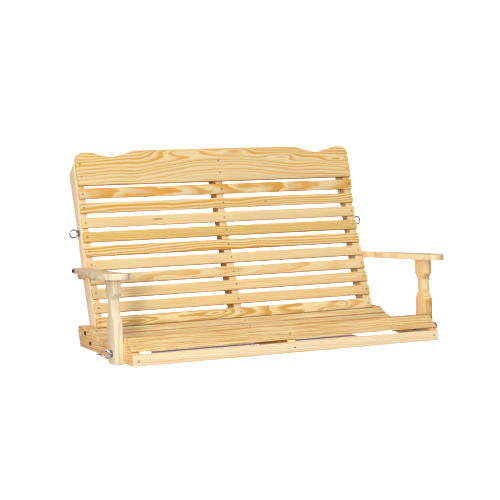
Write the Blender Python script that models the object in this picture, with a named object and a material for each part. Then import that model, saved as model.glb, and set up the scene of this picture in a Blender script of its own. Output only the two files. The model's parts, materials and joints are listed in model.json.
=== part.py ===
"""Slatted pine porch swing seat, four-foot class, without its chains.

Metres, +Z up, -Y the open front, +X the sitter's left.
X = 0 is the middle of the seat, Y = 0 is the middle of the overall depth and
Z = 0 is under the feet of the arm posts.
The side profile is drawn from the front face of the apron and the level
underside of the stringers, and is then moved by DEPTH_SHIFT and BASE_LIFT.
"""

import math

import bmesh
import bpy
from mathutils import Matrix, Vector

# ---------------------------------------------------------------- dimensions
GAP = 0.0003                 # clearance between touching pieces

SEAT_HALF = 0.6096           # half of the 48 inch seat, to the arm posts
LUMBER = 0.0310              # thickness of stringers, uprights and posts
SLAT_T = 0.0130              # thickness of every slat
SLAT_EASE = 0.0022           # eased edge of a slat

BACK_HALF = 0.5760           # half length of the back slats
BACK_SLAT_W = 0.0398         # width of a back slat
BACK_PITCH = 0.0538          # from one back slat to the next
BACK_FIRST = (0.4231, 0.0951)            # face centre of the lowest back slat
BACK_LEANS = (19.2, 21.3, 22.8, 23.1, 22.8, 20.8, 17.6, 13.9, 9.9)
CREST_LEAN = 18.3            # degrees from vertical
CREST_FOOT = (0.5852, 0.5815)            # lower front edge of the crest rail
CREST_H = 0.1245             # height of the crest rail at its ends' humps
CREST_T = 0.0172

APRON_H = 0.0385
APRON_Z = 0.0010
FRONT_BOARD_FOOT = (0.0090, 0.0490)      # lower front edge of the front board
FRONT_BOARD_SLOPE = 36.0     # degrees from level
FRONT_BOARD_W = 0.0705
FRONT_CORNER_R = 0.0180
SEAT_SLAT_W = 0.0388
SEAT_SLATS = 8
SEAT_SLAT_HALF = 0.6070
# Points that the tops of the seat slats follow, from front to rear.
SEAT_CURVE = (
    (0.0762, 0.0918), (0.0880, 0.0912), (0.1090, 0.0862), (0.1450, 0.0725),
    (0.1850, 0.0580), (0.2250, 0.0490), (0.2650, 0.0455), (0.3000, 0.0462),
    (0.3320, 0.0508), (0.3710, 0.0612), (0.4057, 0.0771),
)

POST_TILT = 3.5              # degrees that the posts and arms lean back
POST_D = 0.0710              # depth of an arm post
POST_FRONT = 0.0838          # front face of the post, along the tilted axes
POST_LEN = 0.2936
POST_WAIST = 0.0180          # depth of each scoop of the waist
ARM_T = 0.0224

EYE_R = 0.0147               # middle radius of the eye
EYE_WIRE = 0.0035
EYE_OUT = 0.0215             # from the wood to the middle of the eye
EYE_REAR = (0.5845, 0.4055)
EYE_FRONT = (0.1180, 0.0330)
WASHER_R = 0.0130
WASHER_T = 0.0020
INNER_WASHER_R = 0.0100
NUT_R = 0.0075
NUT_T = 0.0065
BOLT_R = 0.0035

DEPTH_SHIFT = -0.3402
BASE_LIFT = 0.0080            # the post feet reach this far under the stringers

# ---------------------------------------------------------------- start clean
for old in list(bpy.data.objects):
    bpy.data.objects.remove(old, do_unlink=True)


def material(name, colour, roughness, metallic=0.0):
    made = bpy.data.materials.new(name)
    made.use_nodes = True
    shader = made.node_tree.nodes["Principled BSDF"]
    shader.inputs["Base Color"].default_value = (*colour, 1.0)
    shader.inputs["Roughness"].default_value = roughness
    shader.inputs["Metallic"].default_value = metallic
    return made


PINE = material("pine", (0.80, 0.60, 0.33), 0.55)
PINE_POST = material("pine_post", (0.84, 0.66, 0.41), 0.55)
STEEL = material("zinc_steel", (0.42, 0.43, 0.45), 0.35, 1.0)
DARK = material("dark_screw", (0.08, 0.07, 0.06), 0.45, 1.0)

OUTER = bpy.data.objects.new("swing_seat", None)
OUTER.location = (0.0, DEPTH_SHIFT, BASE_LIFT)
bpy.context.scene.collection.objects.link(OUTER)
TILTED = bpy.data.objects.new("post_and_arm_axes", None)
TILTED.rotation_euler = (math.radians(-POST_TILT), 0.0, 0.0)
TILTED.parent = OUTER
bpy.context.scene.collection.objects.link(TILTED)


def add(name, mesh, finish, parent=None, location=(0, 0, 0), smooth=None):
    piece = bpy.data.objects.new(name, mesh)
    if not mesh.materials:
        mesh.materials.append(finish)
    piece.parent = parent or OUTER
    piece.location = location
    bpy.context.scene.collection.objects.link(piece)
    if smooth is not None:
        mesh.shade_smooth()
        mesh.set_sharp_from_angle(angle=math.radians(smooth))
    return piece


def finish_mesh(bm, name):
    bmesh.ops.recalc_face_normals(bm, faces=bm.faces)
    mesh = bpy.data.meshes.new(name)
    bm.to_mesh(mesh)
    bm.free()
    return mesh


def prism_x(name, outline, x0, x1):
    """A (y, z) outline extruded along X from x0 to x1."""
    bm = bmesh.new()
    verts = [bm.verts.new((x0, y, z)) for y, z in outline]
    face = bm.faces.new(verts)
    made = bmesh.ops.extrude_face_region(bm, geom=[face])
    moved = [v for v in made["geom"] if isinstance(v, bmesh.types.BMVert)]
    bmesh.ops.translate(bm, verts=moved, vec=(x1 - x0, 0, 0))
    return finish_mesh(bm, name)


def prism_z(name, outline, z0, z1):
    """An (x, y) outline extruded along Z from z0 to z1."""
    bm = bmesh.new()
    face = bm.faces.new([bm.verts.new((x, y, z0)) for x, y in outline])
    made = bmesh.ops.extrude_face_region(bm, geom=[face])
    moved = [v for v in made["geom"] if isinstance(v, bmesh.types.BMVert)]
    bmesh.ops.translate(bm, verts=moved, vec=(0, 0, z1 - z0))
    return finish_mesh(bm, name)


def slat_mesh(name, half, width, thick, ease=SLAT_EASE):
    """A board along X: its face is at local y = 0 and faces -Y, its width is
    along Z, and its long front edges are eased."""
    h = width / 2
    return prism_x(
        name,
        [
            (ease, -h), (0.0, -h + ease), (0.0, h - ease), (ease, h),
            (thick, h), (thick, -h),
        ],
        -half,
        half,
    )


def lean_vectors(degrees):
    """Up along a face that leans back, and the way to its rear, as (y, z)."""
    a = math.radians(degrees)
    return (math.sin(a), math.cos(a)), (math.cos(a), -math.sin(a))


def curve_points(points, count):
    """Catmull-Rom points along a list of (y, z) controls."""
    ends = [
        (2 * points[0][0] - points[1][0], 2 * points[0][1] - points[1][1]),
        *points,
        (2 * points[-1][0] - points[-2][0], 2 * points[-1][1] - points[-2][1]),
    ]
    found = []
    for i in range(1, len(ends) - 2):
        a, b, c, d = ends[i - 1: i + 3]
        for k in range(count):
            t = k / count
            found.append(tuple(
                0.5 * (2 * b[n] + (c[n] - a[n]) * t
                       + (2 * a[n] - 5 * b[n] + 4 * c[n] - d[n]) * t * t
                       + (3 * b[n] - a[n] - 3 * c[n] + d[n]) * t ** 3)
                for n in (0, 1)))
    found.append(points[-1])
    return found


def at_length(points, wanted):
    """Point and direction at a length along a list of points."""
    run = 0.0
    for a, b in zip(points, points[1:]):
        step = math.dist(a, b)
        if run + step >= wanted:
            break
        run += step
    t = (wanted - run) / step
    way = ((b[0] - a[0]) / step, (b[1] - a[1]) / step)
    return (a[0] + (b[0] - a[0]) * t, a[1] + (b[1] - a[1]) * t), way


# ---------------------------------------------------------------- the back
back = []                    # (y, z, lean) of each slat's face, bottom to top
y, z = BACK_FIRST
leans = (BACK_LEANS[0], *BACK_LEANS, BACK_LEANS[-1])
for i in range(10):
    back.append((y, z, (leans[i] + leans[i + 1]) / 2))
    if i < 9:
        (uy, uz), _ = lean_vectors(BACK_LEANS[i])
        y, z = y + uy * BACK_PITCH, z + uz * BACK_PITCH

slat = slat_mesh("back_slat", BACK_HALF, BACK_SLAT_W, SLAT_T)
for i, (y, z, lean) in enumerate(back):
    piece = add(f"back_slat_{10 - i:02d}", slat, PINE, location=(0, y, z))
    piece.rotation_euler = (math.radians(-lean), 0, 0)

# The uprights' front edge has a flat seat behind each slat.
front_edge = []
for y, z, lean in back:
    (uy, uz), (ry, rz) = lean_vectors(lean)
    off = SLAT_T + GAP
    for side in (-0.5, 0.5):
        w = BACK_SLAT_W * side
        front_edge.append((y + uy * w + ry * off, z + uz * w + rz * off))
(cu, cz), (cry, crz) = lean_vectors(CREST_LEAN)
off = CREST_T + GAP
for w in (-0.0010, 0.0890):
    front_edge.append((CREST_FOOT[0] + cu * w + cry * off, CREST_FOOT[1] + cz * w + crz * off))

REAR_EDGE = (
    (0.4700, 0.0060), (0.4830, 0.0450), (0.4985, 0.0900), (0.5200, 0.1450),
    (0.5390, 0.1980), (0.5580, 0.2500), (0.5750, 0.3010), (0.5880, 0.3430),
    (0.5985, 0.3820), (0.6095, 0.4180), (0.6210, 0.4520), (0.6370, 0.4960),
    (0.6560, 0.5450), (0.6805, 0.6060),
)
FOOT = ((0.3830, 0.0060), (0.3830, 0.0430), (0.4215, 0.0600))
upright_outline = [*FOOT, *front_edge, (0.6400, 0.6600), (0.6795, 0.6180), *reversed(REAR_EDGE)]

UPRIGHT_X = SEAT_HALF - LUMBER - GAP - LUMBER / 2
upright = prism_x("back_upright", upright_outline, -LUMBER / 2, LUMBER / 2)
add("back_upright_left", upright, PINE, location=(-UPRIGHT_X, 0, 0))
add("back_upright_right", upright, PINE, location=(UPRIGHT_X, 0, 0))

# Crest rail: a board with a hump near each end, a dip, and a long flat middle.
def crest_top(x):
    """Height of the crest's outline above its lower edge, at a distance x."""
    a = abs(x)
    controls = (
        (0.0, 0.1315), (0.345, 0.1300), (0.375, 0.1195), (0.4290, 0.1075),
        (0.4700, 0.1150), (0.5150, 0.1262), (0.5450, 0.1262), (0.5680, 0.1180), (0.5760, 0.1020),
    )
    if a <= 0.342:
        return 0.1315 - 0.0012 * (a / 0.342) ** 2
    pts = curve_points(controls[1:], 8)
    for p, q in zip(pts, pts[1:]):
        if p[0] <= a <= q[0] and q[0] > p[0]:
            return p[1] + (q[1] - p[1]) * (a - p[0]) / (q[0] - p[0])
    return controls[-1][1]


crest_xs = [0.0, 0.342, 0.345, 0.352, 0.362, 0.375, 0.390, 0.408, 0.429, 0.450, 0.470, 0.490, 0.510, 0.530, 0.548, 0.560, 0.569, 0.574, 0.576]
crest_side = [(x, crest_top(x)) for x in crest_xs]
crest_outline = (
    [(-x, h) for x, h in reversed(crest_side[1:])] + crest_side
    + [(BACK_HALF, 0.0), (-BACK_HALF, 0.0)]
)
bm = bmesh.new()
face = bm.faces.new([bm.verts.new((x, 0.0, h)) for x, h in crest_outline])
made = bmesh.ops.extrude_face_region(bm, geom=[face])
bmesh.ops.translate(bm, verts=[v for v in made["geom"] if isinstance(v, bmesh.types.BMVert)], vec=(0, CREST_T, 0))
crest = add("crest_rail", finish_mesh(bm, "crest_rail"), PINE, location=(0, *CREST_FOOT))
crest.rotation_euler = (math.radians(-CREST_LEAN), 0, 0)

# ---------------------------------------------------------------- the seat
apron_t = SLAT_T
apron = slat_mesh("front_apron", SEAT_HALF, APRON_H, apron_t)
add("front_apron", apron, PINE, location=(0, 0, APRON_Z + APRON_H / 2))

fa = math.radians(FRONT_BOARD_SLOPE)
up = (math.cos(fa), math.sin(fa))
down = (math.sin(fa), -math.cos(fa))
foot = FRONT_BOARD_FOOT
head = (foot[0] + up[0] * FRONT_BOARD_W, foot[1] + up[1] * FRONT_BOARD_W)
level_cut = SLAT_T / math.tan(fa)
under_foot = (foot[0] + down[0] * SLAT_T + up[0] * level_cut * 0.98,
              foot[1] + down[1] * SLAT_T + up[1] * level_cut * 0.98)
under_head = (head[0] + down[0] * SLAT_T, head[1] + down[1] * SLAT_T)
# The board is drawn flat, as (x, height up its slope), with rounded upper ends.
r = FRONT_CORNER_R
board_outline = [(SEAT_HALF, 0.0)]
board_outline += [(SEAT_HALF - r + r * math.cos(a), FRONT_BOARD_W - r + r * math.sin(a))
                  for a in (math.radians(d) for d in range(0, 91, 15))]
board_outline += [(-x, s) for x, s in reversed(board_outline)]
bm = bmesh.new()
face = bm.faces.new([bm.verts.new((x, 0.0, s)) for x, s in board_outline])
made = bmesh.ops.extrude_face_region(bm, geom=[face])
for vert in [v for v in made["geom"] if isinstance(v, bmesh.types.BMVert)]:
    vert.co.y = SLAT_T
    if vert.co.z < 1e-6:
        vert.co.z = level_cut * 0.98
rim = [edge for edge in bm.edges if max(v.co.y for v in edge.verts) < 1e-6 and max(v.co.z for v in edge.verts) > 1e-6]
bmesh.ops.bevel(bm, geom=rim, offset=SLAT_EASE, segments=1, affect="EDGES", clamp_overlap=True)
front_board = add("seat_front_board", finish_mesh(bm, "seat_front_board"), PINE, location=(0, *foot))
front_board.rotation_euler = (-math.radians(90 - FRONT_BOARD_SLOPE), 0, 0)

seat_line = curve_points(SEAT_CURVE, 12)
total = sum(math.dist(a, b) for a, b in zip(seat_line, seat_line[1:]))
pitch = (total - SEAT_SLAT_W) / (SEAT_SLATS - 1)
seat = slat_mesh("seat_slat", SEAT_SLAT_HALF, SEAT_SLAT_W, SLAT_T)
contour = [
    (foot[0] + down[0] * (SLAT_T + GAP) + up[0] * level_cut,
     foot[1] + down[1] * (SLAT_T + GAP) + up[1] * level_cut),
    (under_head[0] + down[0] * GAP - up[0] * 0.001, under_head[1] + down[1] * GAP - up[1] * 0.001),
]
for i in range(SEAT_SLATS):
    s = SEAT_SLAT_W / 2 + pitch * i
    a, _ = at_length(seat_line, max(s - SEAT_SLAT_W / 2, 0.0005))
    b, _ = at_length(seat_line, min(s + SEAT_SLAT_W / 2, total - 0.0005))
    run = math.dist(a, b)
    way = ((b[0] - a[0]) / run, (b[1] - a[1]) / run)
    mid = ((a[0] + b[0]) / 2, (a[1] + b[1]) / 2)
    angle = math.degrees(math.atan2(way[1], way[0]))
    piece = add(f"seat_slat_{i + 1:02d}", seat, PINE, location=(0, *mid))
    # The face points up: the board's local -Y turns to +Z.
    piece.rotation_euler = (math.radians(angle - 90.0), 0, 0)
    for side in (-0.5, 0.5):
        w = SEAT_SLAT_W * side
        contour.append((
            mid[0] + way[0] * w + way[1] * (SLAT_T + GAP),
            mid[1] + way[1] * w - way[0] * (SLAT_T + GAP)))
last_way, last_end = way, (mid[0] + way[0] * SEAT_SLAT_W / 2, mid[1] + way[1] * SEAT_SLAT_W / 2)

STRINGER_FRONT = SLAT_T + GAP
behind = [
    (contour[-1][0] + last_way[0] * 0.0005, contour[-1][1] + last_way[1] * 0.0005),
    (last_end[0] + last_way[0] * 0.0005, last_end[1] + last_way[1] * 0.0005),
]
outer_tail = [
    (0.4150, 0.0775), (0.4300, 0.0788), (0.4700, 0.0788), (0.5020, 0.0775),
    (0.5165, 0.0755), (0.5250, 0.0700), (0.5285, 0.0620), (0.5275, 0.0520),
    (0.5095, 0.0000),
]
front_face = [(STRINGER_FRONT, 0.0), (STRINGER_FRONT, contour[0][1] - 0.0030), (contour[0][0] - 0.004, contour[0][1])]
stringer_outline = front_face + contour + behind + outer_tail
stringer = prism_x("seat_stringer", stringer_outline, -LUMBER / 2, LUMBER / 2)
STRINGER_X = SEAT_HALF - LUMBER / 2
add("seat_stringer_left", stringer, PINE, location=(-STRINGER_X, 0, 0))
add("seat_stringer_right", stringer, PINE, location=(STRINGER_X, 0, 0))

# The middle upright and stringer share one line, so they are half-lapped.
LAP_FRONT, LAP_REAR = 0.3830, 0.4700


def lapped(name, outline, cut_from, cut_to, x0, x1, z_top):
    piece = add(name, prism_x(name, outline, -LUMBER / 2, LUMBER / 2), PINE)
    cutter = add(name + "_lap_cutter", prism_x(name + "_lap", [(cut_from, -0.02), (cut_to, -0.02), (cut_to, z_top), (cut_from, z_top)], x0, x1), PINE)
    cutter.hide_render = True
    cutter.display_type = "WIRE"
    lap = piece.modifiers.new("half_lap", "BOOLEAN")
    lap.operation = "DIFFERENCE"
    lap.object = cutter
    return piece


middle_tail = [(0.4135, 0.0665), (0.4250, 0.0675), (0.4720, 0.0675), (0.4720, 0.0000)]
middle_stringer = front_face + contour + behind[:1] + middle_tail
lapped("seat_stringer_center", middle_stringer, LAP_FRONT - 0.0006, 0.60, -0.0300, 0.0002, 0.12)
lapped("back_upright_center", upright_outline, 0.30, 0.60, 0.0000, 0.0300, 0.0920)

# ---------------------------------------------------------------- arm posts
def post_outline():
    top = POST_LEN
    front, rear = POST_FRONT, POST_FRONT + POST_D

    def scoop(t):
        """0 at full depth, 1 at the narrowest, along the post's height."""
        lo, lo2, hi2, hi = 0.1450, 0.1840, 0.2200, 0.2490
        if t <= lo or t >= hi:
            return 0.0
        if t < lo2:
            return 0.5 - 0.5 * math.cos(math.pi * (t - lo) / (lo2 - lo))
        if t > hi2:
            return 0.5 - 0.5 * math.cos(math.pi * (hi - t) / (hi - hi2))
        return 1.0

    steps = [0.1450, 0.1520, 0.1585, 0.1650, 0.1715, 0.1780, 0.1840, 0.1960, 0.2080, 0.2200, 0.2255, 0.2315, 0.2375, 0.2430, 0.2490]
    corner = 0.014
    outline = [(front + 0.004, 0.0), (front, 0.004)]
    outline += [(front + POST_WAIST * scoop(t), t) for t in steps]
    outline += [(front, top), (rear, top)]
    outline += [(rear - POST_WAIST * scoop(t), t) for t in reversed(steps)]
    outline += [(rear - corner + corner * math.cos(a), corner - corner * math.sin(a))
                for a in (math.radians(d) for d in (0, 30, 60, 90))]
    return outline


POST_X = SEAT_HALF + GAP + LUMBER / 2
POST_FOOT = 0.0006           # along the tilted axes
post = prism_x("arm_post", [(y, z + POST_FOOT) for y, z in post_outline()], -LUMBER / 2, LUMBER / 2)
add("arm_post_left", post, PINE_POST, parent=TILTED, location=(-POST_X, 0, 0))
add("arm_post_right", post, PINE_POST, parent=TILTED, location=(POST_X, 0, 0))

# ---------------------------------------------------------------- arms
ARM_TOP = POST_FOOT + POST_LEN + GAP + ARM_T
ARM_CONTROLS = (
    (0.5787, 0.5540), (0.6130, 0.5530), (0.6170, 0.5080), (0.6310, 0.4300),
    (0.6530, 0.3400), (0.6700, 0.2440), (0.6790, 0.1630), (0.6810, 0.1120),
    (0.6780, 0.0660), (0.6640, 0.0330), (0.6430, 0.0160), (0.6180, 0.0140),
    (0.6020, 0.0260), (0.5965, 0.0500),
)
outer = curve_points(ARM_CONTROLS[1:], 4)
arm_outline = [ARM_CONTROLS[0], *outer, (0.5955, 0.0813), (0.5935, 0.2845), (0.5890, 0.3800), (0.5787, 0.4850)]
for side, name in ((-1, "left"), (1, "right")):
    pts = [(side * x, y) for x, y in arm_outline]
    add(f"arm_{name}", prism_z(f"arm_{name}", pts, ARM_TOP - ARM_T, ARM_TOP), PINE, parent=TILTED)
    # A cleat under the arm, screwed to the outer face of the upright.
    cleat = prism_x(
        f"arm_cleat_{name}",
        [(0.5060, -0.0215), (0.5060, -0.0003), (0.5470, -0.0003), (0.5470, -0.0120), (0.5390, -0.0215)],
        side * 0.5786, side * 0.5970)
    add(f"arm_cleat_{name}", cleat, PINE, parent=TILTED, location=(0, 0, ARM_TOP - ARM_T))

# ---------------------------------------------------------------- hardware
def turned_x(name, profile, sides):
    """A profile of (x, radius) turned round the X axis, closed at both ends."""
    bm = bmesh.new()
    rings = []
    for x, r in profile:
        if r == 0:
            rings.append([bm.verts.new((x, 0, 0))])
        else:
            rings.append([bm.verts.new((x, r * math.cos(2 * math.pi * k / sides), r * math.sin(2 * math.pi * k / sides))) for k in range(sides)])
    for a, b in zip(rings, rings[1:]):
        for k in range(sides):
            j = (k + 1) % sides
            if len(a) == 1:
                bm.faces.new((a[0], b[j], b[k]))
            elif len(b) == 1:
                bm.faces.new((a[k], a[j], b[0]))
            else:
                bm.faces.new((a[k], a[j], b[j], b[k]))
    for ring, flip in ((rings[0], True), (rings[-1], False)):
        if len(ring) > 1:
            bm.faces.new(ring if flip else list(reversed(ring)))
    return finish_mesh(bm, name)


def eye_ring(name, turn):
    """The eye, a ring in the XZ plane round the origin, turned about X."""
    bm = bmesh.new()
    around, tube = 18, 6
    rows = []
    for i in range(around):
        a = 2 * math.pi * i / around
        rows.append([
            bm.verts.new((
                (EYE_R + EYE_WIRE * math.cos(2 * math.pi * j / tube)) * math.cos(a),
                EYE_WIRE * math.sin(2 * math.pi * j / tube),
                (EYE_R + EYE_WIRE * math.cos(2 * math.pi * j / tube)) * math.sin(a)))
            for j in range(tube)])
    for i in range(around):
        for j in range(tube):
            k, m = (i + 1) % around, (j + 1) % tube
            bm.faces.new((rows[i][j], rows[k][j], rows[k][m], rows[i][m]))
    bmesh.ops.transform(bm, matrix=Matrix.Rotation(math.radians(turn), 4, "X"), verts=bm.verts)
    return finish_mesh(bm, name)


def washer_mesh(name, outer_r, inner_r, thick, sides=20, hexagon=False):
    bm = bmesh.new()
    rings = []
    for x, r, outside in ((0, outer_r, True), (thick, outer_r, True), (thick, inner_r, False), (0, inner_r, False)):
        ring = []
        for k in range(sides):
            a = 2 * math.pi * k / sides
            # On a hexagon every second point is the middle of a flat.
            reach = r * math.cos(math.pi / 6) if hexagon and outside and k % 2 else r
            ring.append(bm.verts.new((x, reach * math.cos(a), reach * math.sin(a))))
        rings.append(ring)
    for i in range(4):
        a, b = rings[i], rings[(i + 1) % 4]
        for k in range(sides):
            j = (k + 1) % sides
            bm.faces.new((a[k], a[j], b[j], b[k]))
    return finish_mesh(bm, name)


BORE_R = 0.0042

# How far round its shank an eye rests from upright, in degrees.
EYE_TURN = {"front_left": -46.0}


def bored(piece, centres, parent_of_cutter=None, length=0.2, sides=12, radius=BORE_R):
    """Drills round holes along X through a piece at world-frame (y, z) centres."""
    first = len(piece.modifiers)
    for i, (x, y, z) in enumerate(centres, first):
        cutter = add(f"{piece.name}_bore_{i}", turned_x("bore", [(-length / 2, radius), (length / 2, radius)], sides), PINE, location=(x, y, z))
        cutter.hide_render = True
        cutter.display_type = "WIRE"
        cut = piece.modifiers.new(f"bore_{i}", "BOOLEAN")
        cut.operation = "DIFFERENCE"
        cut.object = cutter


ARM_BOLT = (0.5300, ARM_TOP - ARM_T / 2)
ARM_BOLT_HEAD_X = 0.6185
STRINGER_BOLTS = ((0.4528, 0.0552), (0.4027, 0.0257))
LOWER_POST_BOLT = (0.1250, 0.0115)
SINK_R, SINK_DEPTH = 0.0078, 0.0060
objects = bpy.data.objects
for side, name in ((-1, "left"), (1, "right")):
    face_rear = side * (UPRIGHT_X + LUMBER / 2)
    face_front = side * (POST_X + LUMBER / 2)
    bored(objects[f"back_upright_{name}"], [(side * UPRIGHT_X, *EYE_REAR), (side * UPRIGHT_X, *STRINGER_BOLTS[0]), (side * UPRIGHT_X, *STRINGER_BOLTS[1])], length=0.06)
    bored(objects[f"seat_stringer_{name}"], [(side * STRINGER_X, *EYE_FRONT), (side * STRINGER_X, *STRINGER_BOLTS[0]), (side * STRINGER_X, *STRINGER_BOLTS[1]), (side * STRINGER_X, *LOWER_POST_BOLT)], length=0.06)
    bored(objects[f"arm_post_{name}"], [(side * POST_X, *EYE_FRONT), (side * POST_X, *LOWER_POST_BOLT)], length=0.06)

    # Eye bolts: the eye outside, the shank through the wood, a nut inside.
    for place, at, outer_face, depth in (
        ("rear", EYE_REAR, face_rear, LUMBER),
        ("front", EYE_FRONT, face_front, 2 * LUMBER + GAP),
    ):
        label = f"{place}_{name}"
        inner_end = EYE_OUT + depth + WASHER_T + NUT_T + 0.0055
        eye = eye_ring(f"eye_bolt_{label}", EYE_TURN.get(label, 0.0))
        eye_obj = add(f"eye_bolt_{label}", eye, STEEL, location=(outer_face + side * EYE_OUT, *at), smooth=50)
        shank = turned_x("shank", [(EYE_R - 0.0010, 0.0035), (EYE_R + 0.0039, 0.0044), (EYE_R + 0.0042, BOLT_R), (inner_end, BOLT_R)], 12)
        shank_obj = add(f"eye_bolt_{label}_shank", shank, STEEL, location=(outer_face + side * EYE_OUT, *at))
        shank_obj.hide_render = True
        shank_obj.display_type = "WIRE"
        if side > 0:
            shank_obj.rotation_euler = (0, 0, math.pi)
        join = eye_obj.modifiers.new("shank", "BOOLEAN")
        join.operation = "UNION"
        join.object = shank_obj
        sign = -side          # from the outer face towards the middle
        x0 = outer_face + side * GAP
        outer_washer = add(f"eye_washer_{label}", washer_mesh("eye_washer", WASHER_R, BORE_R, WASHER_T), STEEL, location=(x0 if side > 0 else x0 - WASHER_T, *at))
        inner_face = outer_face + sign * (depth + GAP)
        inner_washer = washer_mesh("eye_inner_washer", INNER_WASHER_R, BORE_R, WASHER_T)
        add(f"eye_inner_washer_{label}", inner_washer, STEEL, location=(inner_face if sign > 0 else inner_face - WASHER_T, *at))
        nut_face = inner_face + sign * (WASHER_T + GAP)
        nut = washer_mesh("eye_nut", NUT_R, BOLT_R + 0.0003, NUT_T, sides=12, hexagon=True)
        add(f"eye_nut_{label}", nut, STEEL, location=(nut_face if sign > 0 else nut_face - NUT_T, *at))

    # Bolts that hold the upright between its stringer and the seat.
    for k, at in enumerate(STRINGER_BOLTS):
        face = side * (SEAT_HALF + GAP)
        bolt = turned_x("frame_bolt", [(-0.0040, 0.0), (-0.0036, 0.0035), (-0.0020, 0.0066), (0.0, 0.0075), (0.0, 0.0034), (2 * LUMBER + 0.0060, 0.0034)], 16)
        obj = add(f"frame_bolt_{name}_{k + 1}", bolt, DARK, location=(face, *at), smooth=40)
        if side > 0:
            obj.rotation_euler = (0, 0, math.pi)
    # The post's lower bolt has its head sunk in a counterbore.
    sink = add(f"post_bolt_{name}_sink", turned_x("sink", [(-SINK_DEPTH, SINK_R), (SINK_DEPTH, SINK_R)], 16), PINE, location=(face_front, *LOWER_POST_BOLT))
    sink.hide_render = True
    sink.display_type = "WIRE"
    cut = objects[f"arm_post_{name}"].modifiers.new("sink", "BOOLEAN")
    cut.operation = "DIFFERENCE"
    cut.object = sink
    face = side * (POST_X + LUMBER / 2 - SINK_DEPTH + GAP)
    bolt = turned_x("post_bolt", [(-0.0038, 0.0), (-0.0036, 0.0036), (-0.0022, 0.0060), (0.0, 0.0070), (0.0, 0.0034), (0.0510, 0.0034)], 16)
    obj = add(f"post_bolt_{name}", bolt, STEEL, location=(face, *LOWER_POST_BOLT), smooth=40)
    if side > 0:
        obj.rotation_euler = (0, 0, math.pi)

    # A bolt through the rear of the arm into the upright.
    at = (ARM_BOLT[0] * math.cos(math.radians(POST_TILT)) + ARM_BOLT[1] * math.sin(math.radians(POST_TILT)),
          ARM_BOLT[1] * math.cos(math.radians(POST_TILT)) - ARM_BOLT[0] * math.sin(math.radians(POST_TILT)))
    bored(objects[f"arm_{name}"], [(side * 0.5950, *at)], length=0.12)
    bored(objects[f"back_upright_{name}"], [(side * UPRIGHT_X, *at)], length=0.06)
    bolt = turned_x("arm_bolt", [(-0.0040, 0.0), (-0.0037, 0.0040), (-0.0022, 0.0066), (0.0, 0.0078), (0.0, 0.0034), (0.0600, 0.0034)], 16)
    obj = add(f"arm_bolt_{name}", bolt, DARK, location=(side * ARM_BOLT_HEAD_X, *at), smooth=40)
    if side > 0:
        obj.rotation_euler = (0, 0, math.pi)

# Two bolts clamp the half lap of the middle upright and stringer.
lap_centres = ((0.4020, 0.0200), (0.4550, 0.0450))
for k, at in enumerate(lap_centres):
    bored(objects["back_upright_center"], [(-LUMBER / 4, *at)], length=0.06)
    bored(objects["seat_stringer_center"], [(LUMBER / 4, *at)], length=0.06)
    bolt = turned_x("lap_bolt", [(-0.0040, 0.0), (-0.0036, 0.0035), (-0.0020, 0.0066), (0.0, 0.0075), (0.0, 0.0034), (LUMBER + 0.0040, 0.0034)], 16)
    add(f"lap_bolt_{k + 1}", bolt, DARK, location=(-LUMBER / 2 - GAP, *at), smooth=40)
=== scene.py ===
"""Looks for the porch swing seat: planed pine boards with their own grain,
zinc-plated eye bolts and countersunk screws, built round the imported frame."""

import json
import math

import bmesh
import bpy
from mathutils import Matrix, Vector

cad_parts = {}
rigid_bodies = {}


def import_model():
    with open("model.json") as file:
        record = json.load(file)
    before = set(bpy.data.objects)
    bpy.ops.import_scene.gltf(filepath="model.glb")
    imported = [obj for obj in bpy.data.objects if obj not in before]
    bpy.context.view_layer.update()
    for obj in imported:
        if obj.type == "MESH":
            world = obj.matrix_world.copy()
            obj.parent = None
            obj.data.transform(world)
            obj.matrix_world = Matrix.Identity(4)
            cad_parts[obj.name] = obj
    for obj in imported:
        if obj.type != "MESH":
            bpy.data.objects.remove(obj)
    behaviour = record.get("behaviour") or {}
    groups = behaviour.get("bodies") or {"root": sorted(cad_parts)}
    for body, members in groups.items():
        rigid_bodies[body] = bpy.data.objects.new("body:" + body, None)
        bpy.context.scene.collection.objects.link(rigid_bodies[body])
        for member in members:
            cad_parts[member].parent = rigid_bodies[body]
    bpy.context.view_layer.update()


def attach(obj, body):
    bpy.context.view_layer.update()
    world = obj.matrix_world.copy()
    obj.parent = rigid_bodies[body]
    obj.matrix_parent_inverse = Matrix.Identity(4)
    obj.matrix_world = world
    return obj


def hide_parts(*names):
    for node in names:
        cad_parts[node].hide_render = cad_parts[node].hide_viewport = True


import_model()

# ------------------------------------------------------------------ measures
# The same measures as the solids, in metres.
GAP = 0.0003
SEAT_HALF = 0.6096
LUMBER = 0.0310
SLAT_T = 0.0130
BACK_HALF = 0.5760
BACK_SLAT_W = 0.0398
BACK_PITCH = 0.0538
BACK_FIRST = (0.4231, 0.0951)
BACK_LEANS = (19.2, 21.3, 22.8, 23.1, 22.8, 20.8, 17.6, 13.9, 9.9)
CREST_LEAN = 18.3
CREST_FOOT = (0.5852, 0.5815)
CREST_T = 0.0172
APRON_H = 0.0385
APRON_Z = 0.0010
FRONT_BOARD_FOOT = (0.0090, 0.0490)
FRONT_BOARD_SLOPE = 36.0
FRONT_BOARD_W = 0.0705
FRONT_CORNER_R = 0.0180
SEAT_SLAT_W = 0.0388
SEAT_SLATS = 8
SEAT_SLAT_HALF = 0.6070
SEAT_CURVE = (
    (0.0762, 0.0918), (0.0880, 0.0912), (0.1090, 0.0862), (0.1450, 0.0725),
    (0.1850, 0.0580), (0.2250, 0.0490), (0.2650, 0.0455), (0.3000, 0.0462),
    (0.3320, 0.0508), (0.3710, 0.0612), (0.4057, 0.0771),
)
POST_TILT = math.radians(3.5)
POST_D = 0.0710
POST_FRONT = 0.0838
POST_LEN = 0.2936
POST_WAIST = 0.0180
POST_FOOT = 0.0006
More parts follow.
